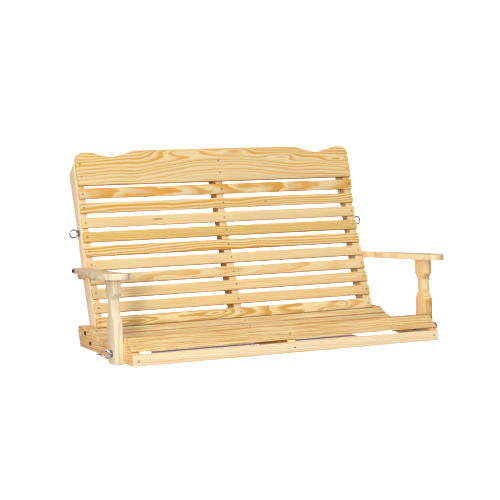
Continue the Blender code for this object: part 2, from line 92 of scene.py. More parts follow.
ARM_T = 0.0224
EYE_R = 0.0147
EYE_WIRE = 0.0035
EYE_OUT = 0.0215
EYE_REAR = (0.5845, 0.4055)
EYE_FRONT = (0.1180, 0.0330)
WASHER_R = 0.0130
INNER_WASHER_R = 0.0100
WASHER_T = 0.0020
NUT_R = 0.0075
NUT_T = 0.0065
BOLT_R = 0.0035
BORE_R = 0.0042
DEPTH_SHIFT = -0.3402
BASE_LIFT = 0.0080
UPRIGHT_X = SEAT_HALF - LUMBER - GAP - LUMBER / 2
STRINGER_X = SEAT_HALF - LUMBER / 2
POST_X = SEAT_HALF + GAP + LUMBER / 2
ARM_TOP = POST_FOOT + POST_LEN + GAP + ARM_T
STRINGER_BOLTS = ((0.4528, 0.0552), (0.4027, 0.0257))
LOWER_POST_BOLT = (0.1250, 0.0115)
SINK_R, SINK_DEPTH = 0.0078, 0.0060
ARM_BOLT = (0.5300, ARM_TOP - ARM_T / 2)
ARM_BOLT_HEAD_X = 0.6185
LAP_BOLTS = ((0.4020, 0.0200), (0.4550, 0.0450))

SHIFT = Vector((0.0, DEPTH_SHIFT, BASE_LIFT))
ROOT = "swing_seat"
RIGHT = Vector((1.0, 0.0, 0.0))


# ------------------------------------------------------------------ node help
def op(nt, kind, a, b=None, c=None, clamp=False):
    """A Math node; numbers go on its sockets, sockets are linked."""
    n = nt.nodes.new("ShaderNodeMath")
    n.operation = kind
    n.use_clamp = clamp
    for i, v in enumerate((a, b, c)):
        if v is None:
            continue
        if isinstance(v, (int, float)):
            n.inputs[i].default_value = v
        else:
            nt.links.new(v, n.inputs[i])
    return n.outputs[0]


def combine(nt, x, y, z):
    n = nt.nodes.new("ShaderNodeCombineXYZ")
    for i, v in enumerate((x, y, z)):
        if isinstance(v, (int, float)):
            n.inputs[i].default_value = v
        else:
            nt.links.new(v, n.inputs[i])
    return n.outputs[0]


def noise1(nt, w, detail=1.0, rough=0.5):
    n = nt.nodes.new("ShaderNodeTexNoise")
    n.noise_dimensions = "1D"
    n.inputs["Scale"].default_value = 1.0
    n.inputs["Detail"].default_value = detail
    n.inputs["Roughness"].default_value = rough
    nt.links.new(w, n.inputs["W"])
    return n.outputs[0]


def noise3(nt, vec, detail=2.0, rough=0.5):
    n = nt.nodes.new("ShaderNodeTexNoise")
    n.inputs["Scale"].default_value = 1.0
    n.inputs["Detail"].default_value = detail
    n.inputs["Roughness"].default_value = rough
    nt.links.new(vec, n.inputs["Vector"])
    return n.outputs[0]


def ramp(nt, fac, stops, mode="LINEAR"):
    n = nt.nodes.new("ShaderNodeValToRGB")
    n.color_ramp.interpolation = mode
    els = n.color_ramp.elements
    while len(els) > 1:
        els.remove(els[-1])
    els[0].position = stops[0][0]
    els[0].color = (*[stops[0][1]] * 3, 1.0)
    for pos, v in stops[1:]:
        e = els.new(pos)
        e.color = (*[v] * 3, 1.0)
    nt.links.new(fac, n.inputs[0])
    return n.outputs[0]


def mix_colour(nt, fac, a, b, blend="MIX"):
    n = nt.nodes.new("ShaderNodeMix")
    n.data_type = "RGBA"
    n.blend_type = blend
    for socket, v in ((n.inputs[0], fac), (n.inputs[6], a), (n.inputs[7], b)):
        if isinstance(v, (int, float)):
            socket.default_value = v
        elif isinstance(v, tuple):
            socket.default_value = (*v, 1.0)
        else:
            nt.links.new(v, socket)
    return n.outputs[2]


def lin(r, g, b):
    """An sRGB colour from 0 to 255, as linear numbers."""
    out = []
    for v in (r, g, b):
        v /= 255
        out.append(v / 12.92 if v <= 0.04045 else ((v + 0.055) / 1.055) ** 2.4)
    return tuple(out)


# ------------------------------------------------------------------ pine
PINE_FLOATS = (
    ("PithW", 0.0), ("PithT", -40.0), ("SlopeW", 0.0), ("SlopeT", 0.01),
    ("Bend", 10.0), ("Spacing", 5.0), ("Warp", 2.0), ("Seed", 0.0),
    ("Late", 0.8), ("Tone", 1.0), ("Knot L", 9000.0), ("Knot W", 0.0),
    ("Knot R", 4.0), ("Knot Long", 1.6), ("Push", 0.0), ("Fine", 0.25),
    ("Power", 1.0), ("Fade", 0.0), ("Low Edge", -9000.0), ("Band", 0.25),
)


def pine_group():
    """Growth rings round a pith that runs along the board. The incoming vector
    is (along the board, across it, out of its face) in metres."""
    g = bpy.data.node_groups.new("pine_rings", "ShaderNodeTree")
    face = g.interface
    face.new_socket("Vector", in_out="INPUT", socket_type="NodeSocketVector")
    for name, default in PINE_FLOATS:
        s = face.new_socket(name, in_out="INPUT", socket_type="NodeSocketFloat")
        s.default_value = default
    for name, default in (("Pale", lin(240, 216, 165)), ("Gold", lin(222, 160, 78))):
        s = face.new_socket(name, in_out="INPUT", socket_type="NodeSocketColor")
        s.default_value = (*default, 1.0)
    face.new_socket("Color", in_out="OUTPUT", socket_type="NodeSocketColor")
    face.new_socket("Roughness", in_out="OUTPUT", socket_type="NodeSocketFloat")
    face.new_socket("Height", in_out="OUTPUT", socket_type="NodeSocketFloat")
    gi = g.nodes.new("NodeGroupInput")
    go = g.nodes.new("NodeGroupOutput")
    i = gi.outputs
    split = g.nodes.new("ShaderNodeSeparateXYZ")
    g.links.new(i["Vector"], split.inputs[0])
    L = op(g, "MULTIPLY", split.outputs[0], 1000.0)
    W = op(g, "MULTIPLY", split.outputs[1], 1000.0)
    T = op(g, "MULTIPLY", split.outputs[2], 1000.0)
    seed = op(g, "MULTIPLY", i["Seed"], 13.7)

    # The pith wanders as the tree grew.
    n1 = op(g, "SUBTRACT", noise1(g, op(g, "MULTIPLY_ADD", L, 0.0031, seed), 2.0), 0.5)
    n2 = op(g, "SUBTRACT", noise1(g, op(g, "MULTIPLY_ADD", L, 0.0042, op(g, "ADD", seed, 51.3)), 2.0), 0.5)
    pw = op(g, "MULTIPLY_ADD", i["SlopeW"], L, i["PithW"])
    pw = op(g, "MULTIPLY_ADD", n1, i["Bend"], pw)
    pt = op(g, "MULTIPLY_ADD", i["SlopeT"], L, i["PithT"])
    pt = op(g, "MULTIPLY_ADD", n2, i["Bend"], pt)
    dw = op(g, "SUBTRACT", W, pw)
    dt = op(g, "SUBTRACT", T, pt)
    r = op(g, "SQRT", op(g, "ADD", op(g, "MULTIPLY", dw, dw), op(g, "MULTIPLY", dt, dt)))
    r = op(g, "ADD", r, i["Push"])

    # Knots push the rings apart round them.
    kl = op(g, "DIVIDE", op(g, "SUBTRACT", L, i["Knot L"]), i["Knot Long"])
    kw = op(g, "SUBTRACT", W, i["Knot W"])
    kd = op(g, "SQRT", op(g, "ADD", op(g, "MULTIPLY", kl, kl), op(g, "MULTIPLY", kw, kw)))
    kn = op(g, "DIVIDE", kd, i["Knot R"])
    push = op(g, "EXPONENT", op(g, "MULTIPLY", op(g, "MULTIPLY", kn, kn), -0.22))
    r = op(g, "MULTIPLY_ADD", push, op(g, "MULTIPLY", i["Knot R"], 1.6), r)

    # Slow waves along the grain, and a faint fine ripple.
    wave = noise3(g, combine(g, op(g, "MULTIPLY_ADD", L, 0.0075, seed), op(g, "MULTIPLY", W, 0.028), op(g, "MULTIPLY", T, 0.028)), 2.0)
    r = op(g, "MULTIPLY_ADD", op(g, "SUBTRACT", wave, 0.5), op(g, "MULTIPLY", i["Warp"], 4.0), r)
    fine = noise3(g, combine(g, op(g, "MULTIPLY_ADD", L, 0.045, seed), op(g, "MULTIPLY", W, 0.22), op(g, "MULTIPLY", T, 0.22)), 2.0)
    r = op(g, "MULTIPLY_ADD", op(g, "SUBTRACT", fine, 0.5), op(g, "MULTIPLY", i["Warp"], 0.55), r)

    # Years of fast and slow growth, then one ring's pale and gold parts.
    phase = op(g, "DIVIDE", r, i["Spacing"])
    years = noise1(g, op(g, "MULTIPLY_ADD", phase, 0.37, seed), 1.0)
    phase = op(g, "MULTIPLY_ADD", op(g, "SUBTRACT", years, 0.5), 1.2, phase)
    ring = op(g, "FRACT", phase)
    late = ramp(g, op(g, "POWER", ring, i["Power"]), ((0.0, 0.12), (0.05, 0.0), (0.26, 0.04), (0.52, 0.42), (0.76, 0.94), (0.93, 1.0), (1.0, 0.12)), "EASE")
    strong = noise1(g, op(g, "MULTIPLY_ADD", op(g, "FLOOR", phase), 0.83, seed), 0.0)
    late = op(g, "MULTIPLY", late, op(g, "MULTIPLY_ADD", strong, 1.1, 0.42))
    along = noise3(g, combine(g, op(g, "MULTIPLY_ADD", L, 0.006, op(g, "ADD", seed, 9.0)), op(g, "MULTIPLY", W, 0.05), op(g, "MULTIPLY", T, 0.05)), 1.0)
    late = op(g, "MULTIPLY", late, op(g, "MULTIPLY_ADD", along, 1.0, 0.5))
    late = op(g, "MULTIPLY", late, i["Late"])
    far = op(g, "SUBTRACT", 1.25, op(g, "MULTIPLY", r, i["Fade"]), clamp=True)
    late = op(g, "MULTIPLY", late, far)
    thin = ramp(g, op(g, "FRACT", op(g, "MULTIPLY_ADD", phase, 2.63, 0.3)), ((0.0, 0.1), (0.1, 0.0), (0.45, 0.1), (0.85, 1.0), (1.0, 0.1)), "EASE")
    late = op(g, "MULTIPLY_ADD", thin, i["Fine"], late, clamp=True)

    # Broad bands of tone that run with the grain.
    band = noise3(g, combine(g, op(g, "MULTIPLY_ADD", L, 0.0052, op(g, "ADD", seed, 33.0)), op(g, "MULTIPLY_ADD", W, 0.15, op(g, "MULTIPLY", L, 0.002)), op(g, "MULTIPLY", T, 0.15)), 2.0, 0.6)
    late = op(g, "MULTIPLY_ADD", op(g, "SUBTRACT", band, 0.5), op(g, "MULTIPLY", i["Band"], 2.2), late, clamp=True)

    # Fibres: long thin streaks, short resin flecks and a slow change of tone.
    streak = noise3(g, combine(g, op(g, "MULTIPLY_ADD", L, 0.012, seed), op(g, "MULTIPLY", W, 0.75), op(g, "MULTIPLY", T, 0.75)), 3.0, 0.6)
    fleck = noise3(g, combine(g, op(g, "MULTIPLY_ADD", L, 0.09, seed), op(g, "MULTIPLY", W, 1.7), op(g, "MULTIPLY", T, 1.7)), 1.0)
    slow = noise3(g, combine(g, op(g, "MULTIPLY_ADD", L, 0.0035, op(g, "ADD", seed, 21.0)), op(g, "MULTIPLY", W, 0.02), op(g, "MULTIPLY", T, 0.02)), 1.0)

    colour = mix_colour(g, late, i["Pale"], i["Gold"])
    shade = op(g, "MULTIPLY_ADD", op(g, "SUBTRACT", streak, 0.5), 0.20, i["Tone"])
    shade = op(g, "MULTIPLY_ADD", op(g, "SUBTRACT", slow, 0.5), 0.22, shade)
    dark = ramp(g, fleck, ((0.0, 0.0), (0.66, 0.0), (0.80, 1.0), (1.0, 1.0)))
    shade = op(g, "SUBTRACT", shade, op(g, "MULTIPLY", dark, 0.07))
    tint = g.nodes.new("ShaderNodeVectorMath")
    tint.operation = "SCALE"
    g.links.new(colour, tint.inputs[0])
    g.links.new(shade, tint.inputs["Scale"])
    warm = mix_colour(g, op(g, "MULTIPLY", op(g, "SUBTRACT", slow, 0.42), 0.7, clamp=True), tint.outputs[0], lin(236, 200, 150), "MULTIPLY")

    # Painted shade along the rounded lower edge, where little light reaches from below.
    edge_shade_mask = op(g, "MULTIPLY", op(g, "SUBTRACT", op(g, "ADD", i["Low Edge"], 2.3), W), 0.6, clamp=True)
    warm = mix_colour(g, op(g, "MULTIPLY", edge_shade_mask, 0.62), warm, lin(208, 150, 74), "MULTIPLY")

    knot = ramp(g, op(g, "MULTIPLY", kn, 0.5), ((0.0, 1.0), (0.36, 0.85), (0.52, 0.55), (0.66, 0.0), (1.0, 0.0)))
    colour = mix_colour(g, op(g, "MULTIPLY", knot, 0.9), warm, lin(176, 104, 54))
    g.links.new(colour, go.inputs["Color"])
    g.links.new(op(g, "MULTIPLY_ADD", late, -0.14, op(g, "MULTIPLY_ADD", streak, 0.12, 0.52)), go.inputs["Roughness"])
    g.links.new(op(g, "MULTIPLY_ADD", late, 0.35, op(g, "MULTIPLY", streak, 0.65)), go.inputs["Height"])
    return g


PINE = pine_group()


def pine(name, pale=None, gold=None, bumps=(), painted_side_shade=0.0, **values):
    """One board's own pine. values are the group's numbers, with _ for a space.
    Its side-shade number paints brown shade on the board's left-facing side.
    Each bump (along, across, half length, half width, height, slope), in mm,
    lifts the rings round one place and so makes a loop or a wave there."""
    mat = bpy.data.materials.new("pine_" + name)
    mat.use_nodes = True
    nt = mat.node_tree
    shader = nt.nodes["Principled BSDF"]
    coords = nt.nodes.new("ShaderNodeTexCoord")
    place = nt.nodes.new("ShaderNodeMapping")
    place.name = "board_axes"
    nt.links.new(coords.outputs["Object"], place.inputs["Vector"])
    wood = nt.nodes.new("ShaderNodeGroup")
    wood.node_tree = PINE
    nt.links.new(place.outputs["Vector"], wood.inputs["Vector"])
    if bumps:
        sep = nt.nodes.new("ShaderNodeSeparateXYZ")
        nt.links.new(place.outputs["Vector"], sep.inputs[0])
        along = op(nt, "MULTIPLY", sep.outputs[0], 1000.0)
        across = op(nt, "MULTIPLY", sep.outputs[1], 1000.0)
        lift = None
        for l0, w0, sl, sw, height, slope in bumps:
            dl = op(nt, "SUBTRACT", along, l0)
            dw = op(nt, "MULTIPLY_ADD", dl, -slope, op(nt, "SUBTRACT", across, w0))
            dl = op(nt, "DIVIDE", dl, sl)
            dw = op(nt, "DIVIDE", dw, sw)
            far = op(nt, "MULTIPLY_ADD", dl, dl, op(nt, "MULTIPLY", dw, dw))
            one = op(nt, "MULTIPLY", op(nt, "EXPONENT", op(nt, "MULTIPLY", far, -1.0)), height)
            lift = one if lift is None else op(nt, "ADD", lift, one)
        nt.links.new(lift, wood.inputs["Push"])
    for key, v in values.items():
        wood.inputs[key.replace("_", " ")].default_value = v
    if pale:
        wood.inputs["Pale"].default_value = (*lin(*pale), 1.0)
    if gold:
        wood.inputs["Gold"].default_value = (*lin(*gold), 1.0)
    bump = nt.nodes.new("ShaderNodeBump")
    bump.inputs["Strength"].default_value = 0.25
    bump.inputs["Distance"].default_value = 0.0004
    nt.links.new(wood.outputs["Height"], bump.inputs["Height"])
    colour = wood.outputs["Color"]
    # Painted shade: faces turned towards -X are browned, standing in for the deep shade between the slats and uprights.
    if painted_side_shade:
        face = nt.nodes.new("ShaderNodeSeparateXYZ")
        nt.links.new(nt.nodes.new("ShaderNodeNewGeometry").outputs["Normal"], face.inputs[0])
        left = op(nt, "MULTIPLY_ADD", face.outputs[0], -2.0, -1.0, clamp=True)
        colour = mix_colour(nt, op(nt, "MULTIPLY", left, painted_side_shade), colour, lin(206, 142, 56), "MULTIPLY")
    nt.links.new(colour, shader.inputs["Base Color"])
    nt.links.new(wood.outputs["Roughness"], shader.inputs["Roughness"])
    nt.links.new(bump.outputs["Normal"], shader.inputs["Normal"])
    shader.inputs["Specular IOR Level"].default_value = 0.35
    return mat


def metal(name, colour, rough, scratch=0.25, metallic=0.95):
    """Plated steel with faint scratches and dull spots."""
    mat = bpy.data.materials.new(name)
    mat.use_nodes = True
    nt = mat.node_tree
    shader = nt.nodes["Principled BSDF"]
    coords = nt.nodes.new("ShaderNodeTexCoord")
    sep = nt.nodes.new("ShaderNodeSeparateXYZ")
    nt.links.new(coords.outputs["Object"], sep.inputs[0])
    fine = noise3(nt, combine(nt, op(nt, "MULTIPLY", sep.outputs[0], 900.0), op(nt, "MULTIPLY", sep.outputs[1], 900.0), op(nt, "MULTIPLY", sep.outputs[2], 900.0)), 3.0, 0.6)
    broad = noise3(nt, combine(nt, op(nt, "MULTIPLY", sep.outputs[0], 140.0), op(nt, "MULTIPLY", sep.outputs[1], 140.0), op(nt, "MULTIPLY", sep.outputs[2], 140.0)), 2.0)
    base = lin(*colour)
    dull = tuple(v * 0.62 for v in base)
    nt.links.new(mix_colour(nt, ramp(nt, broad, ((0.0, 0.0), (0.42, 0.0), (0.68, 0.8), (1.0, 1.0))), base, dull), shader.inputs["Base Color"])
    nt.links.new(op(nt, "MULTIPLY_ADD", fine, scratch, rough - scratch / 2), shader.inputs["Roughness"])
    bump = nt.nodes.new("ShaderNodeBump")
    bump.inputs["Strength"].default_value = 0.12
    bump.inputs["Distance"].default_value = 0.0002
    nt.links.new(fine, bump.inputs["Height"])
    nt.links.new(bump.outputs["Normal"], shader.inputs["Normal"])
    shader.inputs["Metallic"].default_value = metallic
    return mat


ZINC = metal("zinc_plate", (178, 176, 180), 0.24)
# A lit copy of the zinc: painted light makes the front-left eye bolt brighter than the rest.
LIT_ZINC_COPY = metal("lit_zinc_copy", (226, 226, 234), 0.22)
DARK_STEEL = metal("dark_screw_steel", (58, 46, 40), 0.45, metallic=0.8)
SCREW_STEEL = metal("screw_steel", (186, 180, 176), 0.48, metallic=0.9)


# ------------------------------------------------------------------ mesh help
def lean_vectors(degrees):
    a = math.radians(degrees)
    return (math.sin(a), math.cos(a)), (math.cos(a), -math.sin(a))


def curve_points(points, count):
    ends = [
        (2 * points[0][0] - points[1][0], 2 * points[0][1] - points[1][1]),
        *points,
        (2 * points[-1][0] - points[-2][0], 2 * points[-1][1] - points[-2][1]),
    ]
    found = []
    for i in range(1, len(ends) - 2):
        a, b, c, d = ends[i - 1: i + 3]
        for k in range(count):
            t = k / count
            found.append(tuple(
                0.5 * (2 * b[n] + (c[n] - a[n]) * t
                       + (2 * a[n] - 5 * b[n] + 4 * c[n] - d[n]) * t * t
                       + (3 * b[n] - a[n] - 3 * c[n] + d[n]) * t ** 3)
                for n in (0, 1)))
    found.append(points[-1])
    return found


def at_length(points, wanted):
    run = 0.0
    for a, b in zip(points, points[1:]):
        step = math.dist(a, b)
        if run + step >= wanted:
            break
        run += step
    t = (wanted - run) / step
    return (a[0] + (b[0] - a[0]) * t, a[1] + (b[1] - a[1]) * t)


def frame_matrix(origin, along, out):
    """A right-handed local frame: x along the board, z out of its face."""
    x = Vector(along).normalized()
    z = Vector(out).normalized()
    y = z.cross(x).normalized()
    m = Matrix((x, y, z)).transposed().to_4x4()
    m.translation = Vector(origin)
    return m


def settle(obj, holes=None):
    """Applies the object's modifiers, after cutting holes if there are any."""
    cutters = [] if holes is None else holes if isinstance(holes, list) else [holes]
    for cutter in cutters:
        cut = obj.modifiers.new("holes", "BOOLEAN")
        cut.operation = "DIFFERENCE"
        cut.solver = "EXACT"
        cut.object = cutter
    bpy.context.view_layer.update()
    graph = bpy.context.evaluated_depsgraph_get()
    mesh = bpy.data.meshes.new_from_object(obj.evaluated_get(graph))
    obj.modifiers.clear()
    old = obj.data
    obj.data = mesh
    bpy.data.meshes.remove(old)
    for cutter in cutters:
        data = cutter.data
        bpy.data.objects.remove(cutter)
        bpy.data.meshes.remove(data)


def smooth(mesh, degrees=35):
    mesh.shade_smooth()
    mesh.set_sharp_from_angle(angle=math.radians(degrees))


def board(name, node, bm, local, mat, ease=0.0016, segments=3, holes=None, body=ROOT):
    """Turns a bmesh into an eased board whose grain runs along local's x."""
    bmesh.ops.recalc_face_normals(bm, faces=bm.faces)
    mesh = bpy.data.meshes.new(name)
    bm.to_mesh(mesh)
    bm.free()
    mesh.materials.append(mat)
    obj = bpy.data.objects.new(name, mesh)
    bpy.context.scene.collection.objects.link(obj)
    axes = local.inverted()
    mapping = mat.node_tree.nodes["board_axes"]
    mapping.inputs["Location"].default_value = axes.translation
    mapping.inputs["Rotation"].default_value = axes.to_euler()
    if ease:
        bevel = obj.modifiers.new("ease", "BEVEL")
        bevel.width = ease
        bevel.segments = segments
        bevel.limit_method = "ANGLE"
        bevel.angle_limit = math.radians(32)
        bevel.miter_outer = "MITER_ARC"
    settle(obj, holes)
    smooth(obj.data, 32)
    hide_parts(*([node] if isinstance(node, str) else node))
    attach(obj, body)
    return obj


def extruded(points, offset):
    """A closed outline of 3-D points, swept by offset."""
    bm = bmesh.new()
    face = bm.faces.new([bm.verts.new(p) for p in points])
    made = bmesh.ops.extrude_face_region(bm, geom=[face])
    bmesh.ops.translate(bm, verts=[v for v in made["geom"] if isinstance(v, bmesh.types.BMVert)], vec=offset)
    return bm


def side_board(outline, x0, x1, matrix=None):
    """A (y, z) outline in the drawing's frame, swept along X."""
    m = matrix or Matrix.Translation(SHIFT)
    pts = [m @ Vector((x0, y, z)) for y, z in outline]
    return extruded(pts, Vector((x1 - x0, 0, 0)))


def lathe(name, profile, sides, mat, place, body=ROOT, node=None, angle=35):
    """A profile of (x, radius) turned about local X and set at place."""
    bm = bmesh.new()
    rings = []
    for x, r in profile:
        if r == 0:
            rings.append([bm.verts.new((x, 0, 0))])
        else:
            rings.append([bm.verts.new((x, r * math.cos(2 * math.pi * k / sides), r * math.sin(2 * math.pi * k / sides))) for k in range(sides)])
    for a, b in zip(rings, rings[1:]):
        for k in range(sides):
            j = (k + 1) % sides
            if len(a) == 1:
                bm.faces.new((a[0], b[j], b[k]))
            elif len(b) == 1:
                bm.faces.new((a[k], a[j], b[0]))
            else:
                bm.faces.new((a[k], a[j], b[j], b[k]))
    for ring in (rings[0], rings[-1]):
        if len(ring) > 1:
            bm.faces.new(ring)
    return solid(name, bm, mat, place, body, node, angle)


def solid(name, bm, mat, place, body=ROOT, node=None, angle=35):
    bmesh.ops.recalc_face_normals(bm, faces=bm.faces)
    mesh = bpy.data.meshes.new(name)
    bm.to_mesh(mesh)
    bm.free()
    mesh.materials.append(mat)
    smooth(mesh, angle)
    obj = bpy.data.objects.new(name, mesh)
    bpy.context.scene.collection.objects.link(obj)
    obj.matrix_world = place
    if node:
        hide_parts(node)
    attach(obj, body)
    return obj


# ------------------------------------------------------------------ screws
def cone_cutter(name, places, r_top=0.0040, depth=0.0024, r_low=0.0020):
    """Countersinks at places, each a matrix whose z comes out of the face."""
    bm = bmesh.new()
    sides = 20
    for place in places:
        rows = []
        for z, r in ((0.0010, r_top), (0.0, r_top), (-depth, r_low), (-depth - 0.0015, r_low)):
            rows.append([bm.verts.new(place @ Vector((r * math.cos(2 * math.pi * k / sides), r * math.sin(2 * math.pi * k / sides), z))) for k in range(sides)])
        for a, b in zip(rows, rows[1:]):
            for k in range(sides):
                j = (k + 1) % sides
                bm.faces.new((a[k], b[k], b[j], a[j]))
        bm.faces.new(rows[0])
        bm.faces.new(list(reversed(rows[-1])))
    bmesh.ops.recalc_face_normals(bm, faces=bm.faces)
    mesh = bpy.data.meshes.new(name)
    bm.to_mesh(mesh)
    bm.free()
    obj = bpy.data.objects.new(name, mesh)
    bpy.context.scene.collection.objects.link(obj)
    obj.hide_render = True
    return obj


def screws(name, places, r=0.0034, sink=0.0006, body=ROOT):
    """Flat countersunk heads with a cross recess, one mesh for a board's screws."""
    bm = bmesh.new()
    for n, place in enumerate(places):
        turn = Matrix.Rotation(0.5 + 1.7 * n, 4, "Z")
        outer = []
        half, reach, deep = 0.00055, r * 0.62, 0.0012
        cross = []
        for q in range(4):
            c, s = math.cos(q * math.pi / 2), math.sin(q * math.pi / 2)
            for x, y in ((half, half), (reach, half), (reach, -half)):
                # Each arm of the cross, going round.
                cross.append((x * c + y * s, -x * s + y * c))
        sides = len(cross)
        order = sorted(cross, key=lambda p: math.atan2(p[1], p[0]))
        ring_o = [(r * math.cos(math.atan2(y, x)), r * math.sin(math.atan2(y, x))) for x, y in order]

        def row(pts, z):
            return [bm.verts.new(place @ (turn @ Vector((x, y, z)))) for x, y in pts]

        rows = [
            row([(x * 0.5, y * 0.5) for x, y in ring_o], -sink - 0.0021),
            row([(x * 0.985, y * 0.985) for x, y in ring_o], -sink - 0.0004),
            row([(x * 0.96, y * 0.96) for x, y in ring_o], -sink),
            row(order, -sink),
            row([(x * 0.72, y * 0.72) for x, y in order], -sink - deep),
        ]
        for a, b in zip(rows, rows[1:]):
            for k in range(sides):
                j = (k + 1) % sides
                bm.faces.new((a[k], a[j], b[j], b[k]))
        bm.faces.new(list(reversed(rows[0])))
        bm.faces.new(rows[-1])
    return solid(name, bm, SCREW_STEEL, Matrix.Identity(4), body, None, 30)


# ------------------------------------------------------------------ back slats
PALE, GOLD = (235, 215, 169), (220, 166, 68)
SLAT_COLOURS = {4: ((230, 204, 142), (216, 170, 80)), 5: ((240, 221, 172), (216, 158, 60)), 10: ((240, 222, 174), (212, 162, 74))}
SLATS = {  # counted from the top
    1: dict(PithW=-3, PithT=-62, SlopeT=-0.052, Bend=7, Spacing=8.6, Warp=2.6, Seed=1.3, Late=1.0, Power=0.62, Fine=0.16,
            bumps=((-420, -8, 60, 14, 5, 0), (90, 6, 70, 16, 6, 0))),
    2: dict(PithW=130, PithT=-55, SlopeW=0.028, Bend=20, Spacing=11.0, Warp=2.2, Seed=2.1, Late=2.3, Power=1.6, Fine=0.12, Band=0.2, Knot_L=185, Knot_W=0, Knot_R=2.6, Knot_Long=2.2),
    3: dict(PithW=90, PithT=-160, SlopeW=0.01, Bend=10, Spacing=3.4, Warp=1.0, Seed=3.7, Late=0.30, Fine=0.20, Band=0.35, Knot_L=-275, Knot_W=2, Knot_R=2.4, Knot_Long=8.0),
    4: dict(PithW=-60, PithT=-75, SlopeT=-0.02, Bend=16, Spacing=4.6, Warp=2.0, Seed=4.9, Late=0.75, Fine=0.60, Band=0.55, Tone=0.99),
    5: dict(PithW=-150, PithT=-55, SlopeW=0.012, Bend=14, Spacing=11.0, Warp=2.2, Seed=5.6, Late=2.4, Power=1.45, Fine=0.06, Band=0.15,
            bumps=((-90, 0, 330, 90, -16, 0),)),
    6: dict(PithW=-120, PithT=-140, SlopeW=0.01, Bend=10, Spacing=3.1, Warp=1.0, Seed=6.2, Late=0.30, Fine=0.20, Band=0.35),
    7: dict(PithW=6, PithT=-58, SlopeT=-0.034, Bend=8, Spacing=7.6, Warp=1.8, Seed=7.7, Late=1.25, Power=1.5, Fine=0.22, Fade=0.0125,
            bumps=((-330, -4, 90, 16, 7, -0.05), (420, 4, 70, 12, 4, 0))),
    8: dict(PithW=-110, PithT=-80, SlopeW=0.018, Bend=12, Spacing=6.0, Warp=1.4, Seed=8.4, Late=0.55, Power=1.4, Fine=0.30, Band=0.6),
    9: dict(PithW=140, PithT=-120, SlopeW=-0.02, Bend=12, Spacing=4.6, Warp=1.4, Seed=9.1, Late=0.60, Power=1.3, Fine=0.30, Band=0.45),
    10: dict(PithW=0, PithT=-30, SlopeW=0.01, SlopeT=-0.075, Bend=5, Spacing=8.8, Warp=3.6, Seed=10.8, Late=1.5, Power=1.0, Fine=0.12, Band=0.5, Fade=0.010,
             bumps=((-330, -6, 95, 17, 12, 0.08), (-95, 6, 60, 16, -14, 0.10), (200, 0, 90, 12, 8, 0), (440, 2, 26, 10, -9, 0))),
}

back = []
y, z = BACK_FIRST
leans = (BACK_LEANS[0], *BACK_LEANS, BACK_LEANS[-1])
for i in range(10):
    back.append((y, z, (leans[i] + leans[i + 1]) / 2))
    if i < 9:
        (uy, uz), _ = lean_vectors(BACK_LEANS[i])
        y, z = y + uy * BACK_PITCH, z + uz * BACK_PITCH


def flat_board(name, node, half, low, high, thick, local, mat, screw_at, ease=0.0020, corner=0.0, ends=None):
    """A board drawn in its own frame: x along, y up from low to high, z out."""
    pts = []
    if corner:
        r = corner
        for cx, cy, a0 in ((half - r, low + r, -90), (half - r, high - r, 0), (-half + r, high - r, 90), (-half + r, low + r, 180)):
            pts += [(cx + r * math.cos(math.radians(a0 + d)), cy + r * math.sin(math.radians(a0 + d))) for d in (0, 30, 60, 90)]
    else:
        pts = [(half, low), (half, high), (-half, high), (-half, low)]
    bm = extruded([local @ Vector((x, y, 0)) for x, y in pts], local.to_3x3() @ Vector((0, 0, -thick)))
    places = [local @ Matrix.Translation((x, y, 0)) for x, y in screw_at]
    holes = cone_cutter(name + "_holes", places) if places else None
    obj = board(name, node, bm, local, mat, ease, holes=holes)
    if places:
        screws("screws_" + name, places)
    return obj


for i, (y, z, lean) in enumerate(back):
    n = 10 - i
    node = f"back_slat_{n:02d}"
    (uy, uz), (ry, rz) = lean_vectors(lean)
    local = frame_matrix(Vector((0, y, z)) + SHIFT, RIGHT, (0, -ry, -rz))
    wobble = [0.0016 * math.sin(3.1 * n + k) for k in range(3)]
    flat_board(
        f"pine_{node}", node, BACK_HALF, -BACK_SLAT_W / 2, BACK_SLAT_W / 2, SLAT_T, local,
        pine(node, *SLAT_COLOURS.get(n, (PALE, GOLD)), Low_Edge=-BACK_SLAT_W * 500, **SLATS[n]),
        [(-0.5615 + wobble[0], wobble[1]), (0.0030 + wobble[1], wobble[2]), (0.5615 - wobble[2], wobble[0])],
        corner=0.0022)

# ------------------------------------------------------------------ crest rail
CREST_TOP = (
    (0.345, 0.1300), (0.375, 0.1195), (0.4290, 0.1075),
    (0.4700, 0.1150), (0.5150, 0.1262), (0.5450, 0.1262), (0.5680, 0.1180), (0.5760, 0.1020),
)
side = [p for p in curve_points(CREST_TOP, 6)]
side = [(min(x, BACK_HALF), h) for x, h in side]
top = [(0.0, 0.1315), (0.342, 0.1303)] + side
outline = [(-x, h) for x, h in reversed(top[1:])] + top + [(BACK_HALF, 0.0), (-BACK_HALF, 0.0)]
(uy, uz), (ry, rz) = lean_vectors(CREST_LEAN)
local = frame_matrix(Vector((0, *CREST_FOOT)) + SHIFT, RIGHT, (0, -ry, -rz))
bm = extruded([local @ Vector((x, h, 0)) for x, h in outline], local.to_3x3() @ Vector((0, 0, -CREST_T)))
places = [local @ Matrix.Translation((x, h, 0)) for x in (-0.5610, 0.0030, 0.5610) for h in (0.0332, 0.0810)]
